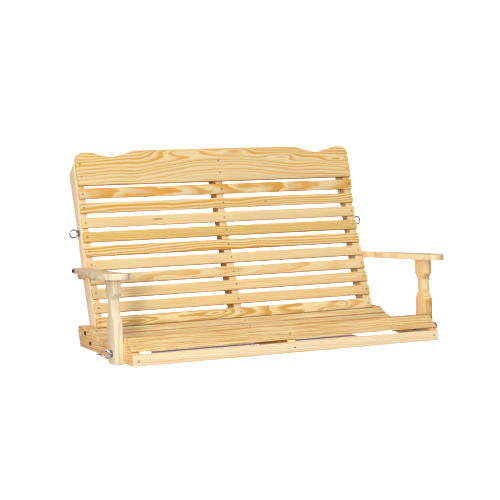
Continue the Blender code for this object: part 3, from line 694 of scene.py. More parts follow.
board(
    "pine_crest_rail", "crest_rail", bm, local,
    pine("crest_rail", PALE, GOLD, PithW=270, PithT=-36, SlopeW=0.0, SlopeT=-0.02, Bend=9, Spacing=12.6, Warp=3.2, Seed=11.9, Late=2.6, Power=1.3, Fine=0.14, Fade=0.0037, Low_Edge=0.0, Band=0.25,
         bumps=((0, 60, 300, 120, 40, 0), (-150, 122, 120, 20, 44, 0), (75, 120, 60, 14, 26, 0), (285, 95, 60, 14, 26, 0), (510, 72, 70, 12, -22, -0.03), (430, 60, 60, 40, 8, 0), (-330, 60, 60, 60, -8, 0.4))),
    0.0018, holes=cone_cutter("crest_holes", places))
screws("screws_pine_crest_rail", places)

# ------------------------------------------------------------------ seat
local = frame_matrix(Vector((0, 0, APRON_Z + APRON_H / 2)) + SHIFT, RIGHT, (0, -1, 0))
flat_board(
    "pine_front_apron", "front_apron", SEAT_HALF, -APRON_H / 2, APRON_H / 2, SLAT_T, local,
    pine("front_apron", (254, 238, 204), (226, 176, 104), Low_Edge=-APRON_H * 500, PithW=-130, PithT=-70, SlopeW=-0.02, Bend=16, Spacing=6.4, Warp=1.8, Seed=12.4, Late=0.55, Power=1.3, Fine=0.22, Band=0.35, Tone=1.06),
    [(-0.5900, -0.0015), (0.0070, 0.0), (0.5900, 0.0010)], corner=0.0015)

fa = math.radians(FRONT_BOARD_SLOPE)
up, down = (math.cos(fa), math.sin(fa)), (math.sin(fa), -math.cos(fa))
level_cut = SLAT_T / math.tan(fa)
local = frame_matrix(Vector((0, *FRONT_BOARD_FOOT)) + SHIFT, RIGHT, (0, -down[0], -down[1]))
r = FRONT_CORNER_R
pts = [(SEAT_HALF, 0.0)]
pts += [(SEAT_HALF - r + r * math.cos(a), FRONT_BOARD_W - r + r * math.sin(a)) for a in (math.radians(d) for d in range(0, 91, 9))]
pts += [(-x, s) for x, s in reversed(pts)]
bm = extruded([Vector((x, s, 0)) for x, s in pts], Vector((0, 0, -SLAT_T)))
for v in bm.verts:
    if v.co.z < -1e-4 and v.co.y < 1e-6:
        v.co.y = level_cut * 0.98
bmesh.ops.transform(bm, matrix=local, verts=bm.verts)
places = [local @ Matrix.Translation((x, s, 0)) for x, s in ((-0.5900, 0.0293), (0.0040, 0.0300), (0.5900, 0.0285))]
board(
    "pine_seat_front_board", "seat_front_board", bm, local,
    pine("seat_front_board", (250, 229, 174), (220, 158, 74), Tone=0.92, Band=1.3, PithW=-70, PithT=-50, SlopeW=-0.02, SlopeT=0.01, Bend=26, Spacing=7.4, Warp=3.4, Seed=13.2, Late=0.85, Power=1.3, Fine=0.30, Low_Edge=0.0),
    0.0024, holes=cone_cutter("front_board_holes", places))
screws("screws_pine_seat_front_board", places)

seat_line = curve_points(SEAT_CURVE, 12)
total = sum(math.dist(a, b) for a, b in zip(seat_line, seat_line[1:]))
pitch = (total - SEAT_SLAT_W) / (SEAT_SLATS - 1)
foot = FRONT_BOARD_FOOT
head = (foot[0] + up[0] * FRONT_BOARD_W, foot[1] + up[1] * FRONT_BOARD_W)
under_head = (head[0] + down[0] * SLAT_T, head[1] + down[1] * SLAT_T)
contour = [
    (foot[0] + down[0] * (SLAT_T + GAP) + up[0] * level_cut, foot[1] + down[1] * (SLAT_T + GAP) + up[1] * level_cut),
    (under_head[0] + down[0] * GAP - up[0] * 0.001, under_head[1] + down[1] * GAP - up[1] * 0.001),
]
for i in range(SEAT_SLATS):
    s = SEAT_SLAT_W / 2 + pitch * i
    a = at_length(seat_line, max(s - SEAT_SLAT_W / 2, 0.0005))
    b = at_length(seat_line, min(s + SEAT_SLAT_W / 2, total - 0.0005))
    run = math.dist(a, b)
    way = ((b[0] - a[0]) / run, (b[1] - a[1]) / run)
    mid = ((a[0] + b[0]) / 2, (a[1] + b[1]) / 2)
    # The width runs back along the seat and the face is up.
    local = frame_matrix(Vector((0, *mid)) + SHIFT, RIGHT, (0, -way[1], way[0]))
    n = i + 1
    flat_board(
        f"pine_seat_slat_{n:02d}", f"seat_slat_{n:02d}", SEAT_SLAT_HALF, -SEAT_SLAT_W / 2, SEAT_SLAT_W / 2, SLAT_T, local,
        pine(f"seat_slat_{n:02d}", (250, 238, 194), (222, 168, 86), Band=1.2, PithW=(-1) ** n * (70 + 12 * n), PithT=-60 - 9 * n, SlopeW=0.012 * (-1) ** (n // 2),
             Bend=18, Spacing=5.2 + 0.9 * (n % 4), Warp=2.2, Seed=14.0 + 1.37 * n, Late=0.80 + 0.12 * (n % 3), Power=1.3, Fine=0.30, Low_Edge=-SEAT_SLAT_W * 500, Tone=0.95 + 0.04 * ((n * 5) % 3 - 1)),
        [(-0.5905, 0.0008), (0.0030, -0.0010), (0.5905, 0.0)], corner=0.0022)
    for e in (-0.5, 0.5):
        w = SEAT_SLAT_W * e
        contour.append((mid[0] + way[0] * w + way[1] * (SLAT_T + GAP), mid[1] + way[1] * w - way[0] * (SLAT_T + GAP)))
last_end = (mid[0] + way[0] * SEAT_SLAT_W / 2, mid[1] + way[1] * SEAT_SLAT_W / 2)


# ------------------------------------------------------------------ holes along X
def bore_cutter(name, places):
    """Round holes along X; each place is (x from, x to, y, z, radius)."""
    bm = bmesh.new()
    sides = 24
    for x0, x1, y, z, r in places:
        rows = []
        for x in (x0, x1):
            rows.append([bm.verts.new(Vector((x, y + r * math.cos(2 * math.pi * k / sides), z + r * math.sin(2 * math.pi * k / sides))) + SHIFT) for k in range(sides)])
        for k in range(sides):
            j = (k + 1) % sides
            bm.faces.new((rows[0][k], rows[0][j], rows[1][j], rows[1][k]))
        bm.faces.new(rows[0])
        bm.faces.new(list(reversed(rows[1])))
    bmesh.ops.recalc_face_normals(bm, faces=bm.faces)
    mesh = bpy.data.meshes.new(name)
    bm.to_mesh(mesh)
    bm.free()
    obj = bpy.data.objects.new(name, mesh)
    bpy.context.scene.collection.objects.link(obj)
    obj.hide_render = True
    return obj


def untilt(y, z):
    """From the posts' tilted axes to the drawing's frame."""
    return (y * math.cos(POST_TILT) + z * math.sin(POST_TILT), z * math.cos(POST_TILT) - y * math.sin(POST_TILT))


arm_bolt_at = untilt(*ARM_BOLT)
behind_a = (contour[-1][0] + way[0] * 0.0005, contour[-1][1] + way[1] * 0.0005)
behind_b = (last_end[0] + way[0] * 0.0005, last_end[1] + way[1] * 0.0005)
tail = curve_points([
    (0.4150, 0.0775), (0.4300, 0.0788), (0.4700, 0.0788), (0.5020, 0.0775),
    (0.5165, 0.0755), (0.5250, 0.0700), (0.5285, 0.0620), (0.5275, 0.0520),
], 4) + [(0.5095, 0.0000)]
front_face = [(SLAT_T + GAP, 0.0), (SLAT_T + GAP, contour[0][1] - 0.0030), (contour[0][0] - 0.004, contour[0][1])]
stringer_outline = front_face + contour + [behind_a, behind_b] + tail
stringer_grain = {
    -1: dict(PithW=-60, PithT=-40, SlopeW=0.05, Bend=22, Spacing=5.6, Warp=3.2, Seed=31.0, Late=1.0, Power=1.3, Tone=1.06),
    1: dict(PithW=90, PithT=60, SlopeW=-0.02, Bend=18, Spacing=3.8, Warp=1.8, Seed=32.6, Late=0.60, Tone=0.93),
    0: dict(PithW=80, PithT=70, SlopeW=-0.02, Bend=14, Spacing=3.8, Warp=1.6, Seed=33.9, Late=0.5, Tone=0.93),
}
for sx, label in ((-1, "left"), (1, "right")):
    x = sx * STRINGER_X
    local = frame_matrix(Vector((x, 0.25, 0.03)) + SHIFT, (0, 1, 0), (sx, 0, 0))
    holes = bore_cutter("stringer_bores", [(x - 0.03, x + 0.03, *at, BORE_R) for at in (EYE_FRONT, *STRINGER_BOLTS, LOWER_POST_BOLT)])
    board(
        f"pine_seat_stringer_{label}", f"seat_stringer_{label}", side_board(stringer_outline, x - LUMBER / 2, x + LUMBER / 2), local,
        pine(f"seat_stringer_{label}", (248, 214, 160), (212, 150, 84), **stringer_grain[sx]), 0.0016, holes=holes)

# ------------------------------------------------------------------ uprights
front_edge = []
for y, z, lean in back:
    (uy, uz), (ry, rz) = lean_vectors(lean)
    for e in (-0.5, 0.5):
        w = BACK_SLAT_W * e
        front_edge.append((y + uy * w + ry * (SLAT_T + GAP), z + uz * w + rz * (SLAT_T + GAP)))
(cu, cz), (cry, crz) = lean_vectors(CREST_LEAN)
for w in (-0.0010, 0.0890):
    front_edge.append((CREST_FOOT[0] + cu * w + cry * (CREST_T + GAP), CREST_FOOT[1] + cz * w + crz * (CREST_T + GAP)))
REAR_EDGE = (
    (0.4700, 0.0060), (0.4830, 0.0450), (0.4985, 0.0900), (0.5200, 0.1450),
    (0.5390, 0.1980), (0.5580, 0.2500), (0.5750, 0.3010), (0.5880, 0.3430),
    (0.5985, 0.3820), (0.6095, 0.4180), (0.6210, 0.4520), (0.6370, 0.4960),
    (0.6560, 0.5450), (0.6805, 0.6060),
)
upright_outline = [
    (0.3830, 0.0060), (0.3830, 0.0430), (0.4215, 0.0600), *front_edge,
    (0.6400, 0.6600), (0.6795, 0.6180), *reversed(curve_points(REAR_EDGE, 3)),
]
lean_way = Vector((0, 0.16, 0.60)).normalized()
UPRIGHT_COLOURS = {-1: ((250, 230, 198), (232, 192, 144)), 1: ((254, 238, 192), (238, 196, 130))}
for sx, label, seed in ((-1, "left", 41.0), (1, "right", 42.5)):
    x = sx * UPRIGHT_X
    local = frame_matrix(Vector((x, 0.52, 0.33)) + SHIFT, lean_way, (sx, 0, 0))
    holes = bore_cutter("upright_bores", [(x - 0.03, x + 0.03, *at, BORE_R) for at in (EYE_REAR, *STRINGER_BOLTS, arm_bolt_at)])
    # The right upright's left-facing side gets painted brown shade.
    board(
        f"pine_back_upright_{label}", f"back_upright_{label}", side_board(upright_outline, x - LUMBER / 2, x + LUMBER / 2), local,
        pine(f"back_upright_{label}", *UPRIGHT_COLOURS[sx], painted_side_shade=0.45 if sx > 0 else 0.0, PithW=60 * sx, PithT=-60, SlopeW=0.01, Bend=14, Spacing=5.0, Warp=1.4, Seed=seed, Late=0.55, Power=1.3, Tone=1.10),
        0.0016, holes=holes)


def half_lapped(name, outline, seed, cut, holes_at, local):
    """The middle stringer or upright, with half its thickness cut away."""
    bm = side_board(outline, -LUMBER / 2, LUMBER / 2)
    y0, y1, x0, x1, z_top = cut
    pts = [Vector((x0, yy, zz)) + SHIFT for yy, zz in ((y0, -0.02), (y1, -0.02), (y1, z_top), (y0, z_top))]
    cutter_bm = extruded(pts, Vector((x1 - x0, 0, 0)))
    bmesh.ops.recalc_face_normals(cutter_bm, faces=cutter_bm.faces)
    mesh = bpy.data.meshes.new(name + "_cut")
    cutter_bm.to_mesh(mesh)
    cutter_bm.free()
    cutter = bpy.data.objects.new(name + "_cut", mesh)
    bpy.context.scene.collection.objects.link(cutter)
    bmesh.ops.recalc_face_normals(bm, faces=bm.faces)
    first = bpy.data.meshes.new(name + "_first")
    bm.to_mesh(first)
    bm.free()
    whole = bpy.data.objects.new(name + "_first", first)
    bpy.context.scene.collection.objects.link(whole)
    settle(whole, cutter)
    done = bmesh.new()
    done.from_mesh(whole.data)
    data = whole.data
    bpy.data.objects.remove(whole)
    bpy.data.meshes.remove(data)
    bmesh.ops.dissolve_limit(done, angle_limit=0.01, verts=done.verts, edges=done.edges)
    holes = bore_cutter(name + "_bores", [(-0.03, 0.03, *at, BORE_R) for at in holes_at])
    # The middle stringer and upright get strong painted brown shade on their left-facing sides.
    return board(
        f"pine_{name}", name, done, local,
        pine(name, (253, 238, 198), (236, 192, 124), painted_side_shade=0.92, PithW=70, PithT=-60, SlopeW=0.01, Bend=14, Spacing=3.9, Warp=1.5, Seed=seed, Late=0.30, Tone=1.07),
        0.0012, holes=holes)


middle_tail = [(0.4135, 0.0665), (0.4250, 0.0675), (0.4720, 0.0675), (0.4720, 0.0000)]
half_lapped("seat_stringer_center", front_face + contour + [behind_a] + middle_tail, 34.2,
            (0.3824, 0.60, -0.0300, 0.0002, 0.12), LAP_BOLTS, frame_matrix(Vector((0, 0.25, 0.03)) + SHIFT, (0, 1, 0), (-1, 0, 0)))
half_lapped("back_upright_center", upright_outline, 43.7,
            (0.30, 0.60, 0.0000, 0.0300, 0.0920), LAP_BOLTS, frame_matrix(Vector((0, 0.52, 0.33)) + SHIFT, lean_way, (-1, 0, 0)))

# ------------------------------------------------------------------ arm posts
TILT = Matrix.Translation(SHIFT) @ Matrix.Rotation(-POST_TILT, 4, "X")


def scoop(t):
    lo, lo2, hi2, hi = 0.1450, 0.1840, 0.2200, 0.2490
    if t <= lo or t >= hi:
        return 0.0
    if t < lo2:
        return 0.5 - 0.5 * math.cos(math.pi * (t - lo) / (lo2 - lo))
    if t > hi2:
        return 0.5 - 0.5 * math.cos(math.pi * (hi - t) / (hi - hi2))
    return 1.0


steps = [0.1450 + 0.0039 * k for k in range(11)] + [0.1960, 0.2080] + [0.2200 + 0.0029 * k for k in range(11)]
front, rear = POST_FRONT, POST_FRONT + POST_D
corner = 0.014
outline = [(front + 0.004, 0.0), (front + 0.0012, 0.0012), (front, 0.004)]
outline += [(front + POST_WAIST * scoop(t), t) for t in steps]
outline += [(front, POST_LEN), (rear, POST_LEN)]
outline += [(rear - POST_WAIST * scoop(t), t) for t in reversed(steps)]
outline += [(rear - corner + corner * math.cos(a), corner - corner * math.sin(a)) for a in (math.radians(9 * d) for d in range(11))]
outline = [(yy, zz + POST_FOOT) for yy, zz in outline]
up_post = Vector((0, math.sin(POST_TILT), math.cos(POST_TILT)))
POST_COLOURS = {-1: ((254, 244, 220), (236, 194, 140)), 1: ((254, 238, 192), (222, 162, 88))}
POST_GRAIN = {
    -1: dict(PithW=60, PithT=-110, SlopeW=0.004, SlopeT=0.01, Bend=10, Spacing=5.0, Warp=1.0, Seed=51.0, Late=0.50, Power=1.5, Tone=0.94),
    1: dict(PithW=3, PithT=-64, SlopeW=0.004, SlopeT=0.012, Bend=8, Spacing=4.4, Warp=1.5, Seed=52.3, Late=1.5, Power=1.6),
}
for sx, label in ((-1, "left"), (1, "right")):
    x = sx * POST_X
    centre = TILT @ Vector((x, front + POST_D / 2, 0.15))
    # The face whose normal is local z is the front, so the rings lie across the depth.
    local = frame_matrix(centre, up_post, (0, -math.cos(POST_TILT), math.sin(POST_TILT)))
    face = x + sx * LUMBER / 2
    holes = [
        bore_cutter("post_bores", [(x - 0.03, x + 0.03, *at, BORE_R) for at in (EYE_FRONT, LOWER_POST_BOLT)]),
        bore_cutter("post_sink", [(face - SINK_DEPTH, face + SINK_DEPTH, *LOWER_POST_BOLT, SINK_R)]),
    ]
    board(
        f"pine_arm_post_{label}", f"arm_post_{label}", side_board(outline, x - LUMBER / 2, x + LUMBER / 2, TILT), local,
        pine(f"arm_post_{label}", *POST_COLOURS[sx], Fine=0.30, **POST_GRAIN[sx]),
        0.0022, holes=holes)

# ------------------------------------------------------------------ arms
ARM_COLOURS = {-1: ((254, 243, 217), (228, 186, 136)), 1: ((254, 238, 200), (230, 180, 112))}
ARM_CONTROLS = (
    (0.5787, 0.5540), (0.6130, 0.5530), (0.6170, 0.5080), (0.6310, 0.4300),
    (0.6530, 0.3400), (0.6700, 0.2440), (0.6790, 0.1630), (0.6810, 0.1120),
    (0.6780, 0.0660), (0.6640, 0.0330), (0.6430, 0.0160), (0.6180, 0.0140),
    (0.6020, 0.0260), (0.5965, 0.0500),
)
arm_outline = [ARM_CONTROLS[0], *curve_points(ARM_CONTROLS[1:], 8), (0.5955, 0.0813), (0.5935, 0.2845), (0.5890, 0.3800), (0.5787, 0.4850)]
for sx, label, seed in ((-1, "left", 61.0), (1, "right", 62.2)):
    pts = [TILT @ Vector((sx * min(x, 0.6809), y, ARM_TOP)) for x, y in arm_outline]
    bm = extruded(pts, TILT.to_3x3() @ Vector((0, 0, -ARM_T)))
    local = frame_matrix(TILT @ Vector((sx * 0.635, 0.28, ARM_TOP)), TILT.to_3x3() @ Vector((0, 1, 0)), TILT.to_3x3() @ Vector((0, 0, 1)))
    x = sx * 0.5950
    board(
        f"pine_arm_{label}", f"arm_{label}", bm, local,
        pine(f"arm_{label}", *ARM_COLOURS[sx], PithW=-150 * sx, PithT=-16, SlopeW=0.015, Bend=10, Spacing=7.0, Warp=1.2, Seed=seed, Late=0.70, Power=1.3, Fine=0.3, Band=0.12, Tone=0.95),
        0.0030, holes=bore_cutter("arm_bore", [(x - 0.05, x + 0.05, *arm_bolt_at, BORE_R)]))
    x0, x1 = sx * 0.5786, sx * 0.5970
    block = [(0.5060, -0.0215), (0.5060, -0.0003), (0.5470, -0.0003), (0.5470, -0.0120), (0.5390, -0.0215)]
    bm = side_board([(yy, zz + ARM_TOP - ARM_T) for yy, zz in block], x0, x1, TILT)
    local = frame_matrix(TILT @ Vector(((x0 + x1) / 2, 0.526, ARM_TOP - ARM_T - 0.01)), TILT.to_3x3() @ Vector((0, 1, 0)), (sx, 0, 0))
    board(
        f"pine_arm_cleat_{label}", f"arm_cleat_{label}", bm, local,
        pine(f"arm_cleat_{label}", (232, 196, 144), (210, 150, 90), PithW=-40, PithT=-20, Spacing=3.4, Warp=1.0, Seed=seed + 7, Late=0.6, Tone=0.95), 0.0012)


# ------------------------------------------------------------------ hardware
def thread(x0, x1, r, pitch=0.00125, depth=0.00045):
    """Profile points of a cut thread from x0 to x1."""
    count = max(1, int((x1 - x0) / pitch))
    found = []
    for k in range(count):
        a = x0 + k * pitch
        found += [(a, r - depth), (a + pitch * 0.5, r)]
    found.append((x0 + count * pitch, r - depth))
    return found


def facing(sx, x, y, z):
    """Local +X points from the outside face towards the middle of the seat."""
    turn = Matrix.Rotation(math.pi, 4, "Z") if sx > 0 else Matrix.Identity(4)
    return Matrix.Translation(Vector((x, y, z)) + SHIFT) @ turn


def ring_washer(name, node, outer, inner, thick, place):
    c = 0.0003
    bm = bmesh.new()
    sides = 40
    rings = []
    for x, r in ((0, outer - c), (c, outer), (thick - c, outer), (thick, outer - c), (thick, inner + c), (thick - c, inner), (c, inner), (0, inner + c)):
        rings.append([bm.verts.new((x, r * math.cos(2 * math.pi * k / sides), r * math.sin(2 * math.pi * k / sides))) for k in range(sides)])
    for a, b in zip(rings, rings[1:] + rings[:1]):
        for k in range(sides):
            j = (k + 1) % sides
            bm.faces.new((a[k], a[j], b[j], b[k]))
    return solid(name, bm, ZINC, place, ROOT, node)


def hex_nut(name, node, across_r, inner, thick, place, body):
    """A hexagonal nut with chamfered corners and a plain bore with eased ends."""
    bm = bmesh.new()
    sides = 36
    rows = []

    def hexagon(k, r):
        a = (2 * math.pi * k / sides) % (math.pi / 3) - math.pi / 6
        return r * math.cos(math.pi / 6) / math.cos(a)

    flat = across_r * math.cos(math.pi / 6)
    for x, kind in ((0.0, "c"), (0.0006, "h"), (thick - 0.0006, "h"), (thick, "c"), (thick, "i"), (thick - 0.0004, "j"), (0.0004, "j"), (0.0, "i")):
        row = []
        for k in range(sides):
            a = 2 * math.pi * k / sides
            r = {"c": flat * 0.985, "h": min(hexagon(k, across_r), across_r), "i": inner + 0.0004, "j": inner}[kind]
            row.append(bm.verts.new((x, r * math.cos(a), r * math.sin(a))))
        rows.append(row)
    for a, b in zip(rows, rows[1:] + rows[:1]):
        for k in range(sides):
            j = (k + 1) % sides
            bm.faces.new((a[k], a[j], b[j], b[k]))
    return solid(name, bm, ZINC, place, body, node, 25)


def eye_bolt(name, node, inner_end, place, tilt, body):
    """A bent-rod eye with its collar and shank, joined into one skin."""
    bm = bmesh.new()
    around, tube = 64, 20
    rows = []
    for i in range(around):
        a = 2 * math.pi * i / around
        rows.append([
            bm.verts.new((
                (EYE_R + EYE_WIRE * math.cos(2 * math.pi * j / tube)) * math.cos(a),
                EYE_WIRE * math.sin(2 * math.pi * j / tube),
                (EYE_R + EYE_WIRE * math.cos(2 * math.pi * j / tube)) * math.sin(a)))
            for j in range(tube)])
    for i in range(around):
        for j in range(tube):
            k, m = (i + 1) % around, (j + 1) % tube
            bm.faces.new((rows[i][j], rows[k][j], rows[k][m], rows[i][m]))
    bmesh.ops.recalc_face_normals(bm, faces=bm.faces)
    mesh = bpy.data.meshes.new(name)
    bm.to_mesh(mesh)
    bm.free()
    # Painted light: the front-left eye takes the lit copy of the zinc.
    mesh.materials.append(LIT_ZINC_COPY if "front_left" in name else ZINC)
    obj = bpy.data.objects.new(name, mesh)
    bpy.context.scene.collection.objects.link(obj)
    profile = [(EYE_R - 0.0012, 0.0030), (EYE_R + 0.0010, 0.0040), (EYE_R + 0.0039, 0.0044), (EYE_R + 0.0042, BOLT_R)]
    profile += [(inner_end - 0.0260, BOLT_R)] + thread(inner_end - 0.0258, inner_end - 0.0008, BOLT_R) + [(inner_end, BOLT_R - 0.0009)]
    shank_bm = bmesh.new()
    sides = 24
    rings = [[shank_bm.verts.new((x, r * math.cos(2 * math.pi * k / sides), r * math.sin(2 * math.pi * k / sides))) for k in range(sides)] for x, r in profile]
    for a, b in zip(rings, rings[1:]):
        for k in range(sides):
            j = (k + 1) % sides
            shank_bm.faces.new((a[k], a[j], b[j], b[k]))
    shank_bm.faces.new(rings[0])
    shank_bm.faces.new(list(reversed(rings[-1])))
    bmesh.ops.recalc_face_normals(shank_bm, faces=shank_bm.faces)
    shank_mesh = bpy.data.meshes.new(name + "_shank")
    shank_bm.to_mesh(shank_mesh)
    shank_bm.free()
    shank = bpy.data.objects.new(name + "_shank", shank_mesh)
    bpy.context.scene.collection.objects.link(shank)
    join = obj.modifiers.new("shank", "BOOLEAN")
    join.operation = "UNION"
    join.solver = "EXACT"
    join.object = shank
    settle(obj)
    bpy.data.objects.remove(shank)
    bpy.data.meshes.remove(shank_mesh)
    smooth(obj.data, 40)
    obj.matrix_world = place @ Matrix.Rotation(tilt, 4, "X")
    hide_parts(node)
    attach(obj, body)
    return obj


def bolt(name, node, head_r, head_t, shank_len, place, mat, recess=True):
    """A round washer head with a driver recess, on a plain shank."""
    profile = [(-head_t * 0.35, 0.0), (-head_t * 0.35, head_r * 0.26), (-head_t * 0.92, head_r * 0.34), (-head_t * 0.98, head_r * 0.44)] if recess else [(-head_t, 0.0), (-head_t * 0.98, head_r * 0.40)]
    profile += [
        (-head_t * 0.86, head_r * 0.62), (-head_t * 0.62, head_r * 0.78), (-head_t * 0.42, head_r * 0.90),
        (-head_t * 0.20, head_r * 0.98), (-0.0002, head_r), (0.0, head_r * 0.985), (0.0, 0.0034), (shank_len, 0.0034),
    ]
    return lathe(name, profile, 28, mat, place, ROOT, node)


EYE_TURN = {"rear_left": 0.0, "rear_right": 0.0, "front_left": math.radians(-46.0), "front_right": 0.0}
for sx, label in ((-1, "left"), (1, "right")):
    for where, at, outer_face, depth in (
        ("rear", EYE_REAR, UPRIGHT_X + LUMBER / 2, LUMBER),
        ("front", EYE_FRONT, POST_X + LUMBER / 2, 2 * LUMBER + GAP),
    ):
        tag = f"{where}_{label}"
        inner_end = EYE_OUT + depth + WASHER_T + NUT_T + 0.0055
        eye_bolt(f"steel_eye_bolt_{tag}", f"eye_bolt_{tag}", inner_end, facing(sx, sx * (outer_face + EYE_OUT), *at), EYE_TURN[tag], f"eye_{tag}")
        ring_washer(f"steel_eye_washer_{tag}", f"eye_washer_{tag}", WASHER_R, BORE_R, WASHER_T, facing(sx, sx * (outer_face + GAP + WASHER_T), *at))
        inside = outer_face - depth - GAP
        ring_washer(f"steel_inner_washer_{tag}", f"eye_inner_washer_{tag}", INNER_WASHER_R, BORE_R, WASHER_T, facing(sx, sx * inside, *at))
        hex_nut(f"steel_eye_nut_{tag}", f"eye_nut_{tag}", NUT_R, BOLT_R + 0.0003, NUT_T, facing(sx, sx * (inside - WASHER_T - GAP), *at), f"eye_{tag}")
    for k, at in enumerate(STRINGER_BOLTS):
        bolt(f"steel_frame_bolt_{label}_{k + 1}", f"frame_bolt_{label}_{k + 1}", 0.0075, 0.0040, 2 * LUMBER + 0.0060, facing(sx, sx * (SEAT_HALF + GAP), *at), DARK_STEEL)
    sunk = facing(sx, sx * (POST_X + LUMBER / 2 - SINK_DEPTH + GAP), *LOWER_POST_BOLT)
    bolt(f"steel_post_bolt_{label}", f"post_bolt_{label}", 0.0070, 0.0012, 0.0510, sunk, ZINC, recess=False)
    plug = pine(f"plug_{label}", (250, 228, 186), (226, 176, 110), PithW=14, PithT=6, Bend=2, Spacing=1.8, Warp=0.3, Seed=71.0 + sx, Late=0.6)
    lathe(f"pine_post_plug_{label}", [(-0.0044, 0.0), (-0.0044, 0.0056), (-0.0038, 0.0066), (-0.0016, 0.0068), (-0.0016, 0.0)], 28, plug, sunk, ROOT, None)
    bolt(f"steel_arm_bolt_{label}", f"arm_bolt_{label}", 0.0078, 0.0040, 0.0600, facing(sx, sx * ARM_BOLT_HEAD_X, *arm_bolt_at), DARK_STEEL)
for k, at in enumerate(LAP_BOLTS):
    bolt(f"steel_lap_bolt_{k + 1}", f"lap_bolt_{k + 1}", 0.0075, 0.0040, LUMBER + 0.0040, facing(-1, -LUMBER / 2 - GAP, *at), DARK_STEEL)

# ------------------------------------------------------------------ stage
floor_mesh = bpy.data.meshes.new("studio_floor")
fb = bmesh.new()
bmesh.ops.create_grid(fb, x_segments=8, y_segments=8, size=30.0)
fb.to_mesh(floor_mesh)
fb.free()
floor = bpy.data.objects.new("studio_floor", floor_mesh)
bpy.context.scene.collection.objects.link(floor)
floor.location = (0.0, 0.0, -0.0006)
floor_mat = bpy.data.materials.new("studio_white")
floor_mat.use_nodes = True
floor_mat.node_tree.nodes["Principled BSDF"].inputs["Base Color"].default_value = (0.60, 0.60, 0.60, 1.0)
floor_mat.node_tree.nodes["Principled BSDF"].inputs["Roughness"].default_value = 0.9
floor_mat.node_tree.nodes["Principled BSDF"].inputs["Specular IOR Level"].default_value = 0.0
floor_mesh.materials.append(floor_mat)
floor.visible_diffuse = False
floor.visible_glossy = False
floor.visible_shadow = False

world = bpy.data.worlds.new("studio")
bpy.context.scene.world = world
world.use_nodes = True
wt = world.node_tree
wt.nodes.clear()
out = wt.nodes.new("ShaderNodeOutputWorld")
# Soft light from the front, more of it from the left and above; little from
# behind, so that the sides of the middle upright stay dark.
way_in = wt.nodes.new("ShaderNodeTexCoord")
axis = wt.nodes.new("ShaderNodeSeparateXYZ")
wt.links.new(way_in.outputs["Generated"], axis.inputs[0])
ahead = ramp(wt, op(wt, "MULTIPLY_ADD", axis.outputs[1], -0.5, 0.5), ((0.0, 0.0), (0.42, 0.02), (0.66, 1.0), (1.0, 1.0)), "EASE")
lean = op(wt, "MULTIPLY_ADD", axis.outputs[0], -1.9, op(wt, "MULTIPLY_ADD", axis.outputs[2], 1.85, 0.92))
glow = op(wt, "MULTIPLY_ADD", ahead, op(wt, "MAXIMUM", lean, 0.1), 0.085)
# The rear is filled from the right.
rear = op(wt, "MULTIPLY_ADD", axis.outputs[0], 0.55, op(wt, "MULTIPLY_ADD", axis.outputs[1], 0.85, -0.12))
rear = op(wt, "MULTIPLY", op(wt, "MAXIMUM", rear, 0.0), 1.3)
glow = op(wt, "ADD", glow, rear)
ambient = wt.nodes.new("ShaderNodeBackground")
wt.links.new(mix_colour(wt, op(wt, "ADD", ahead, rear, clamp=True), (1.0, 0.60, 0.22), (1.0, 0.99, 0.97)), ambient.inputs["Color"])
wt.links.new(op(wt, "MULTIPLY", glow, 0.53), ambient.inputs["Strength"])
seen = wt.nodes.new("ShaderNodeBackground")
seen.inputs["Color"].default_value = (1.0, 1.0, 1.0, 1.0)
seen.inputs["Strength"].default_value = 1.2
path = wt.nodes.new("ShaderNodeLightPath")
both = wt.nodes.new("ShaderNodeMixShader")
wt.links.new(path.outputs["Is Camera Ray"], both.inputs[0])
wt.links.new(ambient.outputs[0], both.inputs[1])
wt.links.new(seen.outputs[0], both.inputs[2])
wt.links.new(both.outputs[0], out.inputs[0])


def area(name, direction, distance, size, power, colour, target=(0, -0.05, 0.33)):
    data = bpy.data.lights.new(name, "AREA")
    data.shape = "DISK"
    data.size = size
    data.energy = power
    data.color = colour
    lamp = bpy.data.objects.new(name, data)
    bpy.context.scene.collection.objects.link(lamp)
    way = Vector(direction).normalized()
    lamp.location = Vector(target) + way * distance
    lamp.rotation_euler = way.to_track_quat("Z", "Y").to_euler()
    return lamp


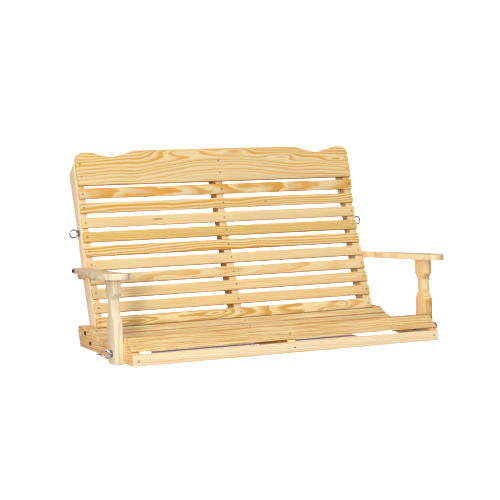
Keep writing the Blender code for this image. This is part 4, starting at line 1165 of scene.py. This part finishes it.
area("key", (-0.60, -0.78, 0.15), 7.0, 0.9, 185.0, (1.0, 0.98, 0.95))

# Lights that only the floor receives keep it pale and free of a horizon. The
# seat slats shade the wash; the warm one stands for light off the wood.
floor_only = bpy.data.collections.new("floor_lights_receivers")
floor_only.objects.link(floor)
shading = bpy.data.collections.new("floor_wash_blockers")
for piece in bpy.context.scene.objects:
    if piece.name.startswith("pine_seat_slat"):
        depth = [v.co.y for v in piece.data.vertices]
        if -0.080 < (min(depth) + max(depth)) / 2 < 0.050:
            shading.objects.link(piece)


def floor_light(name, kind, energy, colour, blockers, place=(0, 0, 1), **settings):
    data = bpy.data.lights.new(name, kind)
    data.energy = energy
    data.color = colour
    for key, v in settings.items():
        setattr(data, key, v)
    lamp = bpy.data.objects.new(name, data)
    bpy.context.scene.collection.objects.link(lamp)
    lamp.location = place
    lamp.light_linking.receiver_collection = floor_only
    lamp.light_linking.blocker_collection = blockers


floor_light("floor_wash", "SUN", 8.0, (1, 1, 1), shading, angle=0.04)
floor_light("floor_warmth", "SUN", 0.55, (1.0, 0.30, 0.02), floor_only, angle=0.2)
floor_light("floor_spot_right", "SPOT", 105.0, (1, 1, 1), floor_only, (0.530, -0.02, 1.0), spot_size=math.radians(11.4), spot_blend=0.05, shadow_soft_size=0.0)
floor_light("floor_spot_left", "SPOT", 105.0, (1, 1, 1), floor_only, (-0.440, -0.02, 1.0), spot_size=math.radians(3.4), spot_blend=0.05, shadow_soft_size=0.0)

camera_data = bpy.data.cameras.new("photo_camera")
camera_data.sensor_width = 36.0
camera_data.lens = 116.23
camera = bpy.data.objects.new("photo_camera", camera_data)
bpy.context.scene.collection.objects.link(camera)
axes = Matrix((
    (0.89421996, -0.4475914, -0.00570885),
    (0.04995128, 0.08710497, 0.99494603),
    (-0.44483202, -0.88998576, 0.10024877),
)).transposed().to_4x4()
axes.translation = Vector((-2.65684, -4.97721, 0.93606)) + SHIFT
camera.matrix_world = axes
bpy.context.scene.camera = camera
bpy.context.scene.view_settings.view_transform = "Standard"
